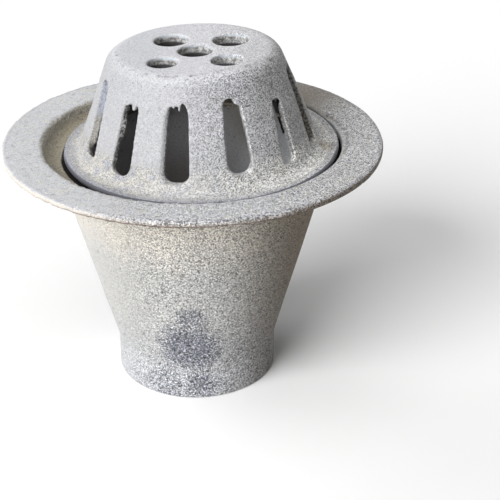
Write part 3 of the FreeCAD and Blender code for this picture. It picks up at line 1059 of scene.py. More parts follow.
def soften_seat(points):
    """Fills the foot of the seat's wall with a wide rounding, except where the brim comes close to it."""
    radius, turn = radius_and_turn(points)
    share = smooth_rise(-turn, 18, 34) + smooth_rise(turn, 134, 150)
    wall_slope = (RECESS_MOUTH - RECESS_FOOT) / (FLANGE_TOP - LEDGE_LEVEL)
    into = np.clip(radius - RECESS_FOOT + SEAT_ROUNDING * (1 - wall_slope), 0, SEAT_ROUNDING)
    floor = LEDGE_LEVEL + SEAT_ROUNDING - np.sqrt(SEAT_ROUNDING ** 2 - into ** 2)
    in_seat = (points[:, 2] > LEDGE_LEVEL - 1) & (radius < RECESS_FOOT + 0.9)
    points[:, 2] += share * in_seat * np.maximum(floor - points[:, 2], 0)


def ease_lip(points):
    """Wears the seat's mouth on its right down to a soft slope."""
    radius, turn = radius_and_turn(points)
    share = smooth_rise(turn, 56, 74) * smooth_rise(-turn, -128, -112)
    slope = FLANGE_TOP - LIP_DROP * (1 - smooth_rise(radius, LIP_FOOT - 2.5, LIP_FOOT + 5))
    excess = np.maximum(points[:, 2] - slope, 0) * (radius > RECESS_FOOT - 1) * (radius < LIP_FOOT + 6)
    points[:, 2] -= share * excess


body_points = read_points(body)
soften_seat(body_points)
write_points(body, body_points)
body_points = read_points(body)
ease_lip(body_points)
write_points(body, body_points)
print("The seat's foot has a rounding of", SEAT_ROUNDING, "mm, and its lip has lost", LIP_DROP, "mm at most")

# %% [markdown]
# ## Skins of the two castings
# The body is evenly rough, but its rim and the mouth of the seat, where the mould crumbled, are far
# rougher at the front. The top of the flange was smoothed. Each depth below is for one of those places,
# and every noise has a seed of its own so that no two patterns lie on each other.

# %% Skin of the outlet body
# Along the lip on the right of the seat: turn from the front in degrees, and radius.
LIP_CREASE = ((68, 99.5), (80, 101.5), (95, 102), (108, 100.5), (118, 98.5))
BODY_WAVES = 0.25
BODY_COARSE = 0.08
BODY_FINE = 0.05
BODY_PITS = 0.6
RIM_COARSE = 0.22
RIM_FINE = 0.5
MOUTH_CRUMBLE = 0.6
LIP_DEPTH = 0.9


def roughen_body():
    points = read_points(body)
    radius = np.hypot(points[:, 0], points[:, 1])
    right, level = points[:, 0], points[:, 2]
    outside = smooth_rise(radius, 50, 54)
    rim = smooth_rise(radius, FLANGE_RADIUS - 3, FLANGE_RADIUS - 0.5)
    rim = rim * smooth_rise(level, FLANGE_UNDER - 2, FLANGE_UNDER)
    flat_top = smooth_rise(level, FLANGE_TOP - 0.8, FLANGE_TOP - 0.2) * (1 - rim)
    coarse = 1 - 0.4 * flat_top
    rough_rim = rim * (1 - 0.9 * smooth_rise(right, 25, 70))
    mouth = 1 - smooth_rise(np.abs(radius - RECESS_MOUTH - 1), 0.5, 3.5)
    mouth = mouth * smooth_rise(level, LEDGE_LEVEL + 3, LEDGE_LEVEL + 6) * (1 - smooth_rise(right, 20, 70))
    depth = BODY_WAVES * lumps(points, 34, 1)
    depth += BODY_COARSE * coarse * lumps(points, 5, 2)
    depth += BODY_FINE * coarse * lumps(points, 2.2, 3)
    depth += rough_rim * (RIM_FINE * lumps(points, 2.3, 5) + RIM_COARSE * lumps(points, 7, 6))
    depth += MOUTH_CRUMBLE * mouth * lumps(points, 2.7, 8)
    holes = pits(points, 6.5, 1.5, 0.30, 4) * outside
    lip = crease(points, (0, 0), LIP_CREASE, 2.4, 7) * smooth_rise(level, LEDGE_LEVEL + 2, LEDGE_LEVEL + 4)
    depth += BODY_PITS * holes + LIP_DEPTH * lip
    press_in(body, depth, holes * 0.8 + lip)
    return depth


print("Outlet body pressed in by at most", round(float(roughen_body().max()), 2), "mm")

# %% [markdown]
# The strainer's crown is smoother than its wall. A broken crease of small holes runs round it, where the
# two halves of its mould met.

# %% Skin of the strainer
# Round the crown: turn from the front in degrees, and radius.
CROWN_CREASE = ((-100, 52), (-53, 53.0), (-32, 52.4), (-12, 51.2), (6, 47.5), (20, 46.0), (42, 47.8),
                (73, 50.7), (95, 51))
DOME_WAVES = 0.2
DOME_COARSE = 0.09
DOME_FINE = 0.07
DOME_PITS = 0.4
CREASE_DEPTH = 0.14
CREASE_PITS = 0.55


def roughen_strainer():
    points, normals = read_points(strainer), read_normals(strainer)
    crown = smooth_rise(normals[:, 2], 0.75, 0.97) * smooth_rise(points[:, 2], 215, 225)
    coarse = 1 - 0.65 * crown
    depth = DOME_WAVES * lumps(points, 26, 11)
    depth += DOME_COARSE * coarse * lumps(points, 4.4, 12)
    depth += DOME_FINE * coarse * lumps(points, 2.1, 13)
    high = smooth_rise(points[:, 2], 212, 222)
    line = crease(points, DOME_MIDDLE[:2], CROWN_CREASE, 1.9, 15) * high
    line = line * smooth_rise(waves(points, 6, 21), -0.3, 0.3)
    shoulder = crease(points, DOME_MIDDLE[:2], CROWN_CREASE, 6, 17) * high
    holes = pits(points, 6, 1.3, 0.16, 14) * (1 - 0.7 * crown)
    crown_holes = pits(points, 3.2, 1.2, 0.3, 19) * shoulder
    depth += DOME_PITS * holes + CREASE_DEPTH * line + CREASE_PITS * crown_holes
    press_in(strainer, depth, holes * 0.6 + line * 0.65 + crown_holes)
    return depth


print("Strainer pressed in by at most", round(float(roughen_strainer().max()), 2), "mm")

# %% [markdown]
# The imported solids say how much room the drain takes, and other parts are fitted by that. So the few
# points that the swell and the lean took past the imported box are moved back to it.

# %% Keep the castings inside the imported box
def keep_inside(piece, low, high):
    points = read_points(piece)
    held = np.clip(points, np.array(low) / MM, np.array(high) / MM)
    print(piece.name, "moved back by at most", round(float(np.abs(points - held).max()), 3), "mm")
    write_points(piece, held)


keep_inside(body, body_low, body_high)
keep_inside(strainer, cad_box[0], cad_box[1])

# %% [markdown]
# ## Materials
# Both castings are the same metal. A sand skin scatters light so much that it looks like pale stone,
# with only a faint sheen. The helpers below add nodes and links in one line each, so that a material
# reads as a list of layers.

# %% Node helpers
class NodeTree:
    """A material's nodes, added one line at a time."""

    def __init__(self, name):
        self.material = bpy.data.materials.new(name)
        self.material.use_nodes = True
        self.tree = self.material.node_tree
        self.tree.nodes.clear()
        where = self.add("TexCoord")
        self.place, self.facing = where.outputs["Object"], where.outputs["Normal"]
        spot = self.add("SeparateXYZ", {0: self.place}).outputs
        self.x, self.y, self.z = spot["X"], spot["Y"], spot["Z"]
        self.up = self.add("SeparateXYZ", {0: self.facing}).outputs["Z"]

    def add(self, kind, inputs=None, **settings):
        node = self.tree.nodes.new("ShaderNode" + kind)
        for name, value in settings.items():
            setattr(node, name, value)
        for name, value in (inputs or {}).items():
            if isinstance(value, bpy.types.NodeSocket):
                self.tree.links.new(value, node.inputs[name])
            else:
                node.inputs[name].default_value = value
        return node

    def marked(self, name):
        """A mark that was kept on the piece's points."""
        return self.add("Attribute", attribute_name=name).outputs["Fac"]

    def rise(self, value, low, high, to_low=0, to_high=1):
        """Maps a value from low..high to to_low..to_high with soft ends."""
        inputs = {"Value": value, "From Min": low, "From Max": high, "To Min": to_low, "To Max": to_high}
        return self.add("MapRange", inputs, interpolation_type="SMOOTHSTEP").outputs[0]

    def math(self, operation, first, second):
        return self.add("Math", {0: first, 1: second}, operation=operation).outputs[0]

    def times(self, *values):
        result = values[0]
        for value in values[1:]:
            result = self.math("MULTIPLY", result, value)
        return result

    def larger(self, *values):
        result = values[0]
        for value in values[1:]:
            result = self.math("MAXIMUM", result, value)
        return result

    def plus(self, first, second):
        return self.math("ADD", first, second)

    def mix(self, share, first, second, blend="MIX"):
        node = self.add("Mix", data_type="RGBA", blend_type=blend)
        for index, value in ((0, share), (6, first), (7, second)):
            if isinstance(value, bpy.types.NodeSocket):
                self.tree.links.new(value, node.inputs[index])
            else:
                node.inputs[index].default_value = (*value, 1) if index else value
        return node.outputs[2]


print("Node helpers ready")

# %% [markdown]
# The next helpers draw patterns. Noise gives stains and weather. Voronoi cells give round specks, and
# also single grains of sand, because each cell has a value of its own. Every width is in millimetres,
# and an offset moves a pattern along so that two layers don't show the same one.

# %% Pattern helpers
SAND_DARK = (0.1, 0.1, 0.1)
SAND_LIGHT = (1.7, 1.7, 1.7)
MATT_SHEEN = 0.5
SLIGHTLY_METAL = 0.1


class Layers(NodeTree):
    """A casting's finish, built up in layers."""

    def moved(self, offset):
        """The place on the piece, moved along by an offset in metres."""
        return self.add("VectorMath", {0: self.place, 1: (offset, offset, offset)}, operation="ADD").outputs[0]

    def noise(self, width, detail=2, roughness=0.5, offset=0):
        """Noise with features about width millimetres wide."""
        inputs = {"Vector": self.moved(offset), "Scale": 1 / (width * MM),
                  "Detail": detail, "Roughness": roughness}
        return self.add("TexNoise", inputs).outputs["Fac"]

    def cells(self, width, offset):
        """Cells of a width: the distance from each cell's middle, and a value of its own from 0 to 1."""
        found = self.add("TexVoronoi", {"Vector": self.moved(offset), "Scale": 1 / (width * MM)}).outputs
        return found["Distance"], self.add("SeparateColor", {0: found["Color"]}).outputs[0]

    def specks(self, spacing, radius, share, offset=0):
        """1 inside small round specks, in a share of the cells of a spacing."""
        distance, own_value = self.cells(spacing, offset)
        round_part = self.rise(distance, radius / spacing, 0.4 * radius / spacing)
        return self.times(round_part, self.rise(own_value, share + 0.01, share - 0.01))

    def sanded(self, colour, width, amount, offset=0):
        """Darkens some grains of sand and lightens others."""
        grains = self.cells(width, offset)[1]
        colour = self.mix(self.times(self.rise(grains, 0.5, 0.05), amount), colour, SAND_DARK, "MULTIPLY")
        return self.mix(self.times(self.rise(grains, 0.55, 0.95), amount), colour, SAND_LIGHT, "MULTIPLY")

    def reach_from(self, centre):
        """Distance in metres from an upright axis, and how far the skin faces away from that axis."""
        axis = (centre[0] * MM, centre[1] * MM, 0)
        flat = self.add("VectorMath", {0: self.place, 1: axis}, operation="SUBTRACT").outputs[0]
        flat = self.add("VectorMath", {0: flat, 1: (1, 1, 0)}, operation="MULTIPLY").outputs[0]
        away = self.add("VectorMath", {0: flat}, operation="LENGTH").outputs["Value"]
        side = self.add("VectorMath", {0: flat}, operation="NORMALIZE").outputs[0]
        outward = self.add("VectorMath", {0: side, 1: self.facing}, operation="DOT_PRODUCT").outputs["Value"]
        return away, outward

    def near(self, spot, reach, ragged=0.5, offset=0):
        """1 at a spot given in millimetres, fading to 0 at its reach, with a ragged edge."""
        away = self.add("VectorMath", {0: self.place, 1: Vector(spot) * MM}, operation="DISTANCE")
        wander = self.math("SUBTRACT", self.noise(reach * 0.35, 3, 0.6, offset), 0.5)
        edge = self.plus(away.outputs["Value"], self.times(wander, reach * MM * ragged))
        return self.rise(edge, reach * MM, reach * MM * 0.3)

    def finish(self, colour, roughness, height, bump_strength, black):
        """Joins the layers to the metal. Its sheen is taken away where the colour is black, deep in shade."""
        bump = self.add("Bump", {"Height": height, "Distance": MM, "Strength": bump_strength})
        inputs = {"Base Color": colour, "Roughness": roughness, "Metallic": SLIGHTLY_METAL,
                  "Normal": bump.outputs[0], "Specular IOR Level": self.rise(black, 0, 1, MATT_SHEEN, 0)}
        shader = self.add("BsdfPrincipled", inputs)
        self.tree.links.new(shader.outputs[0], self.add("OutputMaterial").inputs["Surface"])
        print(self.material.name, "has", len(self.tree.nodes), "nodes")
        return self.material


print("Pattern helpers ready")

# %% [markdown]
# ## Finish of the outlet body
# The body is creamy near the flange, and greyer and bluer towards the foot. Its right side and the
# seat are brown, partly from weather and dirt and partly as painted shade where the main lamp's light
# doesn't fall. Its lit left side is dimmed with painted shade, a tan band of painted shade lies under
# the flange, and a dark bluish stain sits low on the front. The layers go from large to small:
# weathering and painted shade, stains, specks and grain. A picture could be wrapped round it instead,
# but layers that read each place stay sharp from near and fit every side.

# %% Outlet body: metal, weather and painted shade
FOOT_BLUE = (0.57, 0.578, 0.605)
FUNNEL_GREY = (0.635, 0.63, 0.615)
UPPER_CREAM = (0.875, 0.82, 0.735)
RIGHT_BROWN_AND_SHADE = (0.232, 0.171, 0.102)
LEFT_PAINTED_SHADE = (0.905, 0.905, 0.90)
UNDER_FLANGE_SHADE_TAN = (0.46, 0.37, 0.285)

skin = Layers("body_casting")
radius, outward = skin.reach_from((0, 0))
patches = skin.noise(34, 4, 0.6, 3)
blotches = skin.noise(7, 3, 0.6, 8)
level = skin.plus(skin.z, skin.times(skin.math("SUBTRACT", patches, 0.5), 0.05))
colour = skin.mix(skin.rise(level, 0.005, 0.075), FOOT_BLUE, FUNNEL_GREY)
colour = skin.mix(skin.rise(level, 0.10, 0.15), colour, UPPER_CREAM)
# Brown on the right: partly weather, partly painted shade on the side away from the main lamp.
brown_and_shaded_right = skin.times(skin.rise(skin.x, 0.012, 0.075), skin.rise(skin.y, 0.04, -0.03),
                        skin.rise(skin.z, 0.0, 0.08, 0.68, 0.93))
colour = skin.mix(brown_and_shaded_right, colour, RIGHT_BROWN_AND_SHADE)
# Painted shade: the left side, which faces the main lamp, is made darker.
colour = skin.mix(skin.rise(skin.x, -0.018, -0.048), colour, LEFT_PAINTED_SHADE, "MULTIPLY")
# Painted shade: a blotchy tan band darkens the body right under the flange.
under_flange_shade = skin.times(skin.rise(skin.z, 0.144, 0.153), skin.rise(skin.z, 0.166, 0.162),
                       skin.rise(blotches, 0.3, 0.6))
colour = skin.mix(skin.times(under_flange_shade, 0.55), colour, UNDER_FLANGE_SHADE_TAN)
print("Metal and weather:", len(skin.tree.nodes), "nodes")

# %% [markdown]
# Water stood in the pipe's mouth and left stains low on the front. A stain has a ragged edge and is
# made of dark grains that crowd towards its middle, so its share is added to the grain before the
# grain is cut into dark and light.

# %% Outlet body: stains
STAIN_BLUE = (0.31, 0.34, 0.42)
STAIN_DARK = (0.13, 0.14, 0.185)
CLEAN_GRAIN = (0.75, 0.75, 0.75)

second_grain = skin.noise(1.3, 2, 0.6, 15)
main_stain = skin.near((-5, -60, 43), 27, 0.9, 5)
upper_stain = skin.times(skin.near((-4, -68, 68), 15, 1.0, 6), 0.6)
foot_stain = skin.times(skin.near((2, -55, 10), 16, 1.0, 9), 0.55)
left_stain = skin.times(skin.near((-22, -50, 8), 20, 1.2, 10), 0.32)
stain = skin.larger(main_stain, upper_stain, skin.larger(foot_stain, left_stain))
dark_grains = skin.rise(skin.plus(skin.times(stain, 0.11), second_grain), 0.53, 0.63)
colour = skin.mix(skin.times(stain, 0.5), colour, STAIN_BLUE)
colour = skin.mix(skin.times(dark_grains, skin.rise(stain, 0.0, 0.4), 0.8), colour, STAIN_DARK)
light_grains = skin.times(skin.rise(skin.noise(1.5, 2, 0.6, 21), 0.52, 0.66),
                          skin.rise(skin.z, 0.06, 0.02, 0.3, 1))
colour = skin.mix(skin.times(light_grains, 0.35), colour, CLEAN_GRAIN)
print("With the stains:", len(skin.tree.nodes), "nodes")

# %% [markdown]
# The top of the flange has kept its grey, with yellowed and bluish patches. It is found by its level
# and by how far it faces up. Behind the strainer on the right, the dome's shade is painted on it in brown.

# %% Outlet body: top of the flange, with painted shade
TOP_LEFT = (0.57, 0.575, 0.59)
TOP_RIGHT = (0.535, 0.535, 0.54)
TOP_YELLOWED = (0.60, 0.58, 0.49)
TOP_BLUISH = (0.37, 0.38, 0.435)
DOME_SHADE_BROWN = (0.235, 0.202, 0.16)

flat_top = skin.times(skin.rise(skin.z, 0.1645, 0.166), skin.rise(skin.up, 0.2, 0.7))
lip_wall = skin.times(skin.rise(skin.z, 0.1631, 0.1641), skin.rise(skin.x, 0.03, 0.05),
                      skin.rise(radius, 0.104, 0.1025))
top = skin.larger(flat_top, lip_wall)
colour = skin.mix(top, colour, skin.mix(skin.rise(skin.x, 0.03, 0.09), TOP_LEFT, TOP_RIGHT))
yellowed = skin.rise(blotches, 0.52, 0.68, 0, 0.4)
colour = skin.mix(skin.times(top, yellowed), colour, TOP_YELLOWED)
bluish = skin.rise(skin.noise(5, 3, 0.6, 16), 0.52, 0.66, 0, 0.45)
colour = skin.mix(skin.times(top, bluish), colour, TOP_BLUISH)
# Painted shade: the dome's shadow on the flange behind it on the right, in brown.
painted_dome_shade = skin.times(skin.near((55, 84, 168), 78, 0.4, 11), skin.rise(skin.z, 0.160, 0.163))
colour = skin.mix(skin.times(painted_dome_shade, 0.9), colour, DOME_SHADE_BROWN)
print("With the flange's top:", len(skin.tree.nodes), "nodes")

# %% [markdown]
# The seat is brown and mottled, with a paler wall: partly dirt, and partly painted shade on its left,
# which its wall and the flange keep from the main lamp. The grain moves the edge of the brown by a
# few millimetres, because a straight edge would look painted.

# %% Outlet body: seat, with dirt and painted shade
SEAT_DARK = (0.24, 0.213, 0.17)
SEAT_LIGHT = (0.445, 0.405, 0.32)
SEAT_OLIVE = (0.34, 0.305, 0.215)
SEAT_WALL_DARK = (0.38, 0.365, 0.325)
SEAT_WALL_LIGHT = (0.66, 0.64, 0.58)
SEAT_SPECK = (0.13, 0.12, 0.10)

ragged = skin.times(skin.math("SUBTRACT", second_grain, 0.5), 0.006)
seat_dirt_and_shade = skin.times(skin.rise(skin.plus(skin.z, skin.times(ragged, 0.5)), 0.1697, 0.1688),
                      skin.rise(skin.z, 0.155, 0.158),
                      skin.rise(skin.plus(radius, ragged), 0.1020, 0.1002))
shaded_left_seat = skin.rise(skin.x, 0.06, 0.0)
brown = skin.mix(skin.rise(second_grain, 0.38, 0.62), SEAT_DARK, SEAT_LIGHT)
brown = skin.mix(skin.rise(blotches, 0.4, 0.6, 0, 0.6), brown, SEAT_OLIVE)
seat_wall = skin.times(skin.rise(radius, 0.0945, 0.0985), skin.rise(skin.z, 0.1622, 0.166))
wall_colour = skin.mix(skin.rise(second_grain, 0.4, 0.6), SEAT_WALL_DARK, SEAT_WALL_LIGHT)
brown = skin.mix(skin.times(seat_wall, 0.7), brown, wall_colour)
brown = skin.mix(skin.times(skin.specks(3.1, 0.8, 0.5, 26), 0.6), brown, SEAT_SPECK)
# Dirt and painted shade: the brown is only laid on the left of the seat.
colour = skin.mix(skin.times(seat_dirt_and_shade, shaded_left_seat), colour, brown)
print("With the seat:", len(skin.tree.nodes), "nodes")

# %% [markdown]
# No light reaches the gap under the brim. The lamps here are soft and would still fill it a little, so
# the metal itself is made black there as painted shade, measured from the middle of the brim. Below
# the seat, the inside of the funnel is a plain grey. On the right it is paler low down, as painted light
# that comes in through the slots, and darkens upwards into painted shade.

# %% Outlet body: gap and inside, with painted light and shade
INSIDE_LOW = (0.43, 0.40, 0.38)
INSIDE_HIGH = (0.60, 0.60, 0.625)
FUNNEL_RIGHT_LIGHT = (0.68, 0.69, 0.715)
FUNNEL_RIGHT_SHADE = (0.36, 0.33, 0.285)

brim_away = skin.reach_from(BRIM_MIDDLE)[0]
under_brim = skin.times(skin.rise(skin.plus(brim_away, skin.times(ragged, 0.1)), 0.0932, 0.0920),
                        skin.rise(skin.z, 0.1665, 0.164), skin.rise(skin.z, 0.157, 0.159),
                        skin.rise(skin.y, 0.002, -0.016), skin.rise(skin.x, 0.03, -0.01))
gap = skin.times(skin.rise(brim_away, 0.0928, 0.0916), skin.rise(skin.z, 0.1600, 0.1608),
                 skin.rise(skin.z, 0.1680, 0.1660))
right_gap = skin.times(skin.rise(skin.z, 0.1641, 0.1631), skin.rise(skin.z, 0.1600, 0.1608),
                       skin.rise(skin.x, 0.035, 0.05))
black_gap = skin.times(skin.larger(gap, right_gap, under_brim), skin.rise(brim_away, 0.0835, 0.0860),
                       skin.rise(skin.y, 0.078, 0.058))
inside = skin.times(skin.rise(outward, 0.1, -0.3), skin.rise(skin.z, 0.1606, 0.1594))
inside_colour = skin.mix(skin.rise(skin.z, 0.10, 0.15), INSIDE_LOW, INSIDE_HIGH)
# Painted light low on the right of the funnel, and painted shade above it.
funnel_right_light_and_shade = skin.mix(skin.rise(skin.z, 0.122, 0.158), FUNNEL_RIGHT_LIGHT, FUNNEL_RIGHT_SHADE)
inside_colour = skin.mix(skin.rise(skin.x, 0.012, 0.04), inside_colour, funnel_right_light_and_shade)
colour = skin.mix(inside, colour, inside_colour)
print("With the gap and the inside:", len(skin.tree.nodes), "nodes")

# %% [markdown]
# The rim of the flange is the roughest place: bright burrs stand between black hollows all along the
# front. A brown line of painted shade runs along its foot, and its right side, away from the main
# lamp, is painted dark brown as painted shade.

# %% Outlet body: rim of the flange, with painted shade
BURR_HOLLOW = (0.10, 0.10, 0.11)
BURR_LIGHT = (0.76, 0.76, 0.77)
RIM_DIM = (0.84, 0.835, 0.85)
RIM_FOOT_SHADE = (0.20, 0.145, 0.11)
RIM_RIGHT_SHADE = (0.17, 0.14, 0.11)

rim = skin.times(skin.rise(radius, 0.1215, 0.1228), skin.rise(skin.z, 0.160, 0.163))
burrs = skin.noise(1.6, 3, 0.7, 12)
front = skin.times(skin.rise(skin.x, -0.09, -0.02), skin.rise(skin.x, 0.10, 0.04, 0.3, 1))
colour = skin.mix(skin.times(rim, skin.rise(burrs, 0.50, 0.40), front, 0.85), colour, BURR_HOLLOW)
colour = skin.mix(skin.times(rim, skin.rise(burrs, 0.48, 0.58), front, 0.8), colour, BURR_LIGHT)
colour = skin.mix(rim, colour, RIM_DIM, "MULTIPLY")
# Painted shade: a brown line along the foot of the rim.
rim_foot_shade = skin.times(skin.rise(radius, 0.1205, 0.1222), skin.rise(skin.z, 0.1673, 0.1664),
                      skin.rise(skin.z, 0.160, 0.163))
colour = skin.mix(skin.times(rim_foot_shade, skin.rise(skin.x, -0.11, -0.05, 0.1, 0.85)), colour, RIM_FOOT_SHADE)
# Painted shade: the rim's right side, away from the main lamp, in dark brown.
rim_right_shade = skin.times(rim, skin.rise(outward, 0.5, 0.9), skin.rise(skin.x, 0.05, 0.10))
colour = skin.mix(skin.times(rim_right_shade, 0.85), colour, RIM_RIGHT_SHADE)
print("With the rim:", len(skin.tree.nodes), "nodes")

# %% [markdown]
# The last layers are the smallest: pores, dark dots under the flange and the single grains of sand.
# More grain is painted on the right, where the light grazes, than on the left, where it falls full, so
# the grain is partly painted shade of the rough skin.
# The bump follows the same grain, so that what is dark is also deep.

# %% Outlet body: pores, sand and bump
PORE = (0.19, 0.165, 0.145)
DOT = (0.17, 0.125, 0.09)
GRAIN_SHADE = (0.25, 0.23, 0.22)
HOLLOW_SHADE = (0.12, 0.10, 0.09)
GAP_BLACK = (0.02, 0.018, 0.018)
BODY_ROUGHNESS = 0.62

pores = skin.specks(2.5, 0.55, 0.65, 22)
colour = skin.mix(skin.times(pores, skin.rise(skin.x, -0.06, -0.01, 0.25, 0.55)), colour, PORE)
dots = skin.specks(4.2, 0.85, 0.32, 13)
colour = skin.mix(skin.times(dots, skin.rise(skin.z, 0.09, 0.13), 0.6), colour, DOT)
# Painted shade of the grain: more grain on the right, where the light grazes.
sand_share = skin.larger(skin.rise(skin.x, -0.08, -0.01, 0.12, 1), skin.times(top, 0.34))
sand_share = skin.times(sand_share, skin.rise(skin.z, 0.0, 0.06, 1.45, 1), skin.rise(inside, 0, 1, 1, 0.15),
                        skin.rise(painted_dome_shade, 0, 1, 1, 0.4), skin.rise(seat_dirt_and_shade, 0, 1, 1, 0.6),
                        skin.rise(top, 0, 1, 1, 0.8), skin.rise(skin.x, 0.03, 0.07, 1, 1.35))
colour = skin.sanded(colour, 0.52, sand_share, 31)
colour = skin.sanded(colour, 0.5, skin.times(skin.rise(stain, 0, 0.5), 1.15), 41)
grain = skin.noise(0.54, 2, 0.6, 7)
dark_grain = skin.times(skin.rise(grain, 0.30, 0.47, 0.34, 0), skin.rise(skin.x, -0.09, -0.03, 0.2, 1))
colour = skin.mix(dark_grain, colour, GRAIN_SHADE, "MULTIPLY")
colour = skin.mix(skin.times(skin.marked("hollow"), 0.75), colour, HOLLOW_SHADE)
# Painted shade: the gap under the brim is made black.
colour = skin.mix(black_gap, colour, GAP_BLACK)
height = skin.plus(skin.times(grain, 0.8), skin.times(second_grain, 0.2))
height = skin.plus(height, skin.times(pores, -0.4))
bump_strength = skin.times(skin.rise(skin.up, 0.55, 0.95, 1, 0.6), skin.rise(skin.x, -0.09, -0.03, 0.5, 1))
body.data.materials.append(skin.finish(colour, BODY_ROUGHNESS, height, bump_strength, black_gap))

# %% [markdown]
# ## Finish of the strainer
# The strainer is a bluer grey. Its crown is painted paler, as painted light from the sky above, and a
# little darker on the right. The dome is painted darker on its lit left and on its right, as painted
# shade. A cream deposit has dried round the foot of the dome, the outer edge of the brim is bluish,
# and the inside is dark, partly from oxide and partly as painted shade. It is made with the same
# layers as the body, and its distances are taken from the middle of the dome.

# %% Strainer: dome and crown, with painted light and shade
DOME_PATCH = (0.53, 0.53, 0.555)
DOME_GREY = (0.50, 0.505, 0.52)
DOME_LEFT_PAINTED_SHADE = (0.428, 0.43, 0.446)
LEFT_PAINTED_DIMMING = (0.93, 0.93, 0.93)
DOME_RIGHT_PAINTED_SHADE = (0.40, 0.395, 0.385)
CROWN_LEFT = (0.555, 0.56, 0.59)
CROWN_PAINTED_SKY_LIGHT = (0.61, 0.61, 0.635)
CROWN_RIGHT = (0.53, 0.53, 0.545)

skin = Layers("strainer_casting")
radius, outward = skin.reach_from(DOME_MIDDLE)
patches = skin.noise(30, 4, 0.6, 13)
colour = skin.mix(skin.rise(patches, 0.35, 0.65), DOME_PATCH, DOME_GREY)
# Painted shade: the dome's lit left is darkened, and its right too.
colour = skin.mix(skin.rise(skin.x, -0.01, -0.05), colour, DOME_LEFT_PAINTED_SHADE)
colour = skin.mix(skin.rise(skin.x, -0.012, 0.004), colour, LEFT_PAINTED_DIMMING, "MULTIPLY")
colour = skin.mix(skin.rise(skin.x, 0.02, 0.075, 0, 0.8), colour, DOME_RIGHT_PAINTED_SHADE)
crown = skin.times(skin.rise(skin.z, 0.224, 0.230), skin.rise(skin.up, 0.8, 0.97))
# Painted light: the crown is paler, as light from the sky above.
crown_painted_light = skin.mix(skin.rise(skin.x, -0.03, 0.0), CROWN_LEFT, CROWN_PAINTED_SKY_LIGHT)
crown_painted_light = skin.mix(skin.rise(skin.x, 0.01, 0.045), crown_painted_light, CROWN_RIGHT)
colour = skin.mix(crown, colour, crown_painted_light)
print("Dome and crown:", len(skin.tree.nodes), "nodes")

# %% [markdown]
# The brim lies lower and catches what runs down the dome. It goes from a dark grey on the left to a
# pale cream on the right, with a ragged ring of deposit against the dome and a bluish outer edge.

# %% Strainer: brim and its deposit
BRIM_LEFT = (0.345, 0.35, 0.375)
BRIM_FRONT = (0.445, 0.447, 0.47)
BRIM_RIGHT = (0.81, 0.80, 0.78)
DEPOSIT_LEFT = (0.505, 0.485, 0.435)
DEPOSIT_RIGHT = (0.57, 0.562, 0.54)
BRIM_RUST = (0.34, 0.275, 0.19)
EDGE_BLUE = (0.32, 0.33, 0.375)

blotches = skin.noise(6, 3, 0.65, 14)
brim = skin.times(skin.rise(skin.z, 0.185, 0.176), skin.rise(outward, -0.3, 0.1))
brim_colour = skin.mix(skin.rise(skin.x, -0.045, -0.005), BRIM_LEFT, BRIM_FRONT)
brim_colour = skin.mix(skin.rise(skin.x, 0.01, 0.065), brim_colour, BRIM_RIGHT)
colour = skin.mix(brim, colour, brim_colour)
ring = skin.times(skin.rise(radius, 0.070, 0.0755), skin.rise(radius, 0.0872, 0.0835), brim)
deposit = skin.times(ring, skin.rise(blotches, 0.36, 0.56))
deposit_colour = skin.mix(skin.rise(skin.x, -0.045, -0.005), DEPOSIT_LEFT, DEPOSIT_RIGHT)
colour = skin.mix(skin.times(deposit, 0.75), colour, deposit_colour)
colour = skin.mix(skin.times(skin.near((86, -18, 168), 10, 0.8, 28), 0.6), colour, BRIM_RUST)
edge = skin.times(skin.rise(radius, 0.0855, 0.0885), brim, skin.rise(blotches, 0.3, 0.55, 0.3, 1))
colour = skin.mix(skin.times(edge, 0.6), colour, EDGE_BLUE)
print("With the brim:", len(skin.tree.nodes), "nodes")

# %% [markdown]
# Inside, the dome is dark under its crown and black on its right, partly from oxide and partly as
# painted shade, and that is what gives the slots and vents their depth. The film in front of its slot
# is smooth and dark, and paler towards its foot.

# %% Strainer: inside, with painted shade, and film
INSIDE_GREY = (0.55, 0.545, 0.55)
INSIDE_TOP_OXIDE_AND_SHADE = (0.14, 0.12, 0.10)
INSIDE_FOOT_OXIDE_AND_SHADE = (0.17, 0.15, 0.12)
INSIDE_RIGHT_OXIDE_AND_SHADE = (0.05, 0.045, 0.045)
FILM_HIGH = (0.27, 0.275, 0.285)
FILM_LOW = (0.44, 0.455, 0.48)
FILM_MOTTLE = (0.22, 0.23, 0.24)

film, cut_face = skin.marked("film"), skin.marked("cut")
below_crown = skin.rise(skin.up, -0.3, -0.7)
inside = skin.times(skin.larger(skin.rise(outward, 0.15, -0.35), below_crown),
                    skin.rise(skin.z, 0.2285, 0.2245))
# Dark oxide and painted shade inside the dome.
inside_colour = skin.mix(skin.rise(skin.z, 0.196, 0.220), INSIDE_GREY, INSIDE_TOP_OXIDE_AND_SHADE)
back_foot = skin.times(skin.rise(skin.z, 0.190, 0.180), skin.rise(skin.y, 0.02, 0.04))
inside_colour = skin.mix(back_foot, inside_colour, INSIDE_FOOT_OXIDE_AND_SHADE)
inside_colour = skin.mix(skin.rise(skin.x, 0.040, 0.050), inside_colour, INSIDE_RIGHT_OXIDE_AND_SHADE)
colour = skin.mix(inside, colour, inside_colour)
film_colour = skin.mix(skin.rise(skin.z, 0.205, 0.178), FILM_HIGH, FILM_LOW)
film_mottles = skin.rise(skin.noise(3, 3, 0.6, 29), 0.35, 0.65, 0, 0.4)
film_colour = skin.mix(film_mottles, film_colour, FILM_MOTTLE)
colour = skin.mix(skin.times(film, 0.85), colour, film_colour)
print("With the inside and the film:", len(skin.tree.nodes), "nodes")

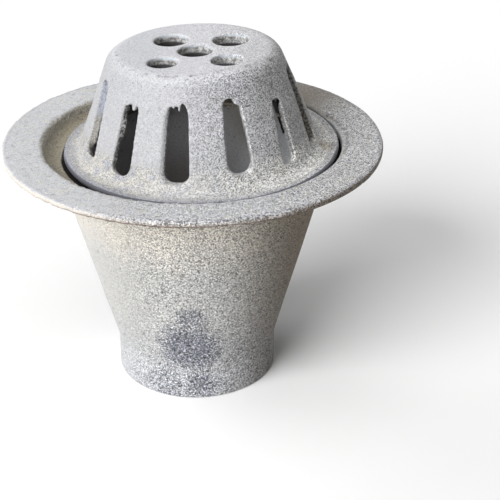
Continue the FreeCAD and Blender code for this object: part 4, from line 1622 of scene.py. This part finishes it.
# %% [markdown]
# The walls of the slots are crumbled sand faces, light grains on dark ones. They change round the dome:
# dark brown on the far right, partly as painted shade, plain at the front, broken in black and white
# further left, and sandy on the far left, with a painted blue sheen higher up. Each kind is a pair of
# colours that the grain chooses from.

# %% Strainer: walls of the slots and vents, with painted shade and sheen
grain = skin.noise(0.56, 2, 0.6, 17)
second_grain = skin.noise(1.6, 2, 0.6, 18)


def two_tones(pattern, low, high, dark, light):
    """A wall that is dark in the pattern's low places and light in its high ones."""
    return skin.mix(skin.rise(pattern, low, high), dark, light)


plain_walls = two_tones(second_grain, 0.42, 0.60, (0.24, 0.23, 0.22), (0.60, 0.61, 0.645))
# Partly painted shade: the far right walls face away from the main lamp.
brown_shaded_walls = two_tones(second_grain, 0.42, 0.60, (0.07, 0.062, 0.052), (0.27, 0.25, 0.205))
ragged_walls = two_tones(second_grain, 0.46, 0.56, (0.10, 0.095, 0.09), (0.66, 0.66, 0.65))
sandy_walls = two_tones(grain, 0.42, 0.58, (0.15, 0.14, 0.12), (0.42, 0.405, 0.36))
# Painted sheen: the blue of the far left walls stands for light on them.
blue_sheen_walls = two_tones(second_grain, 0.42, 0.50, (0.22, 0.23, 0.265), (0.34, 0.365, 0.44))
far_left = skin.rise(skin.x, -0.047, -0.052)
slot_walls = skin.mix(skin.rise(skin.x, 0.05, 0.07), plain_walls, brown_shaded_walls)
slot_walls = skin.mix(skin.rise(skin.x, -0.022, -0.030), slot_walls, ragged_walls)
slot_walls = skin.mix(far_left, slot_walls, sandy_walls)
slot_walls = skin.mix(skin.times(far_left, skin.rise(skin.z, 0.192, 0.200)), slot_walls, blue_sheen_walls)
mottles = skin.plus(skin.noise(2.6, 3, 0.6, 25), skin.times(skin.x, 0.8))
vent_walls = two_tones(mottles, 0.38, 0.64, (0.19, 0.18, 0.17), (0.64, 0.64, 0.63))
colour = skin.mix(cut_face, colour, skin.mix(skin.rise(skin.z, 0.218, 0.222), slot_walls, vent_walls))
print("With the cut walls:", len(skin.tree.nodes), "nodes")

# %% [markdown]
# Sand, specks and painted highlights on edges follow, as on the body. More grain is painted on the
# right, where the light grazes, as painted shade of the grain. The grains are kept off the film and the
# inside, and the crown and the cut walls have fewer of them.

# %% Strainer: sand, specks and painted highlights
SHOULDER_SPECK = (0.11, 0.11, 0.11)
GRAIN_DIM = (0.3, 0.3, 0.3)
RIDGE_HIGHLIGHT = (1.45, 1.45, 1.42)
BRINK_BLUE_HIGHLIGHT = (0.57, 0.62, 0.68)
HOLLOW_DARK = (0.09, 0.08, 0.08)
DOME_PORE = (0.17, 0.165, 0.165)

shoulder = skin.times(skin.rise(skin.z, 0.222, 0.226), skin.rise(radius, 0.044, 0.048),
                      skin.rise(skin.y, 0.0, -0.02))
colour = skin.mix(skin.times(skin.specks(2.7, 0.75, 0.5, 23), shoulder, 0.6), colour, SHOULDER_SPECK)
sand_share = skin.larger(skin.rise(skin.x, -0.03, 0.03, 0.1, 0.8), skin.rise(brim, 0, 1, 0, 0.45))
sand_share = skin.larger(skin.times(sand_share, skin.rise(crown, 0, 1, 1, 0.6)), 0.22)
sand_share = skin.times(sand_share, skin.rise(film, 0, 1, 1, 0.3), skin.rise(inside, 0, 1, 1, 0.08),
                        skin.rise(cut_face, 0, 1, 1, 0.5), 1.1)
colour = skin.sanded(colour, 0.56, sand_share, 33)
# Painted shade of the grain: more dark grain on the right.
dark_grain = skin.times(skin.rise(grain, 0.30, 0.47, 0.34, 0), skin.rise(skin.x, -0.07, 0.0, 0.5, 1),
                        skin.rise(inside, 0, 1, 1, 0.2))
colour = skin.mix(dark_grain, colour, GRAIN_DIM, "MULTIPLY")
# Painted highlights on the raised edges and on the vents' far brinks.
colour = skin.mix(skin.times(skin.marked("ridge_highlight"), 0.36), colour, RIDGE_HIGHLIGHT, "MULTIPLY")
colour = skin.mix(skin.times(skin.marked("brink_highlight"), 0.65), colour, BRINK_BLUE_HIGHLIGHT)
colour = skin.mix(skin.times(skin.marked("hollow"), 0.8), colour, HOLLOW_DARK)
pores = skin.specks(2.3, 0.55, 0.6, 24)
pore_share = skin.times(pores, skin.rise(skin.x, -0.03, 0.02, 0.1, 0.6), skin.rise(skin.up, 0.9, 0.6, 0.3, 1))
colour = skin.mix(pore_share, colour, DOME_PORE)
print("With the sand:", len(skin.tree.nodes), "nodes")

# %% [markdown]
# Last come the places that light doesn't reach: the side of the brim, which faces the seat's wall, the
# depths of the vents and the slit.

# %% Strainer: dark depths and bump
BRIM_SIDE_DARK = (0.085, 0.085, 0.105)
VENT_DEPTH = (0.05, 0.045, 0.045)
SLIT_BLACK = (0.012, 0.012, 0.012)
STRAINER_ROUGHNESS = 0.6

slit = skin.marked("slit")
brim_side = skin.times(skin.rise(radius, 0.0876, 0.0887), skin.rise(skin.up, 0.985, 0.86),
                       skin.rise(skin.y, 0.0, -0.03))
colour = skin.mix(skin.times(brim_side, 0.92), colour, BRIM_SIDE_DARK)
vent_depths = skin.times(skin.rise(skin.z, 0.2284, 0.2268), skin.rise(skin.z, 0.2205, 0.222),
                         skin.rise(radius, 0.047, 0.045))
colour = skin.mix(skin.times(vent_depths, 0.9), colour, VENT_DEPTH)
colour = skin.mix(slit, colour, SLIT_BLACK)
black = skin.larger(slit, skin.times(vent_depths, 0.8))
height = skin.plus(skin.times(grain, 0.8), skin.times(second_grain, 0.2))
bump_strength = skin.larger(skin.rise(skin.up, 0.5, 0.92, 1, 0.35), skin.times(brim, 0.9))
bump_strength = skin.times(bump_strength, skin.rise(film, 0, 1, 1, 0.5))
strainer.data.materials.append(skin.finish(colour, STRAINER_ROUGHNESS, height, bump_strength, black))

# %% [markdown]
# ## Last steps
# Each skin stands for its solid and rides with the drain. Smooth shading goes on last.

# %% Ride, replace and finish
def triangles(piece):
    return sum(len(face.vertices) - 2 for face in piece.data.polygons)


for piece, node, slot in (
        (body, "outlet_body", "body_casting"),
        (strainer, "dome_strainer", "strainer_casting")):
    piece.data.shade_smooth()
    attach(piece, "root")
    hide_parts(node)
    print(piece.name, "has", triangles(piece), "triangles")
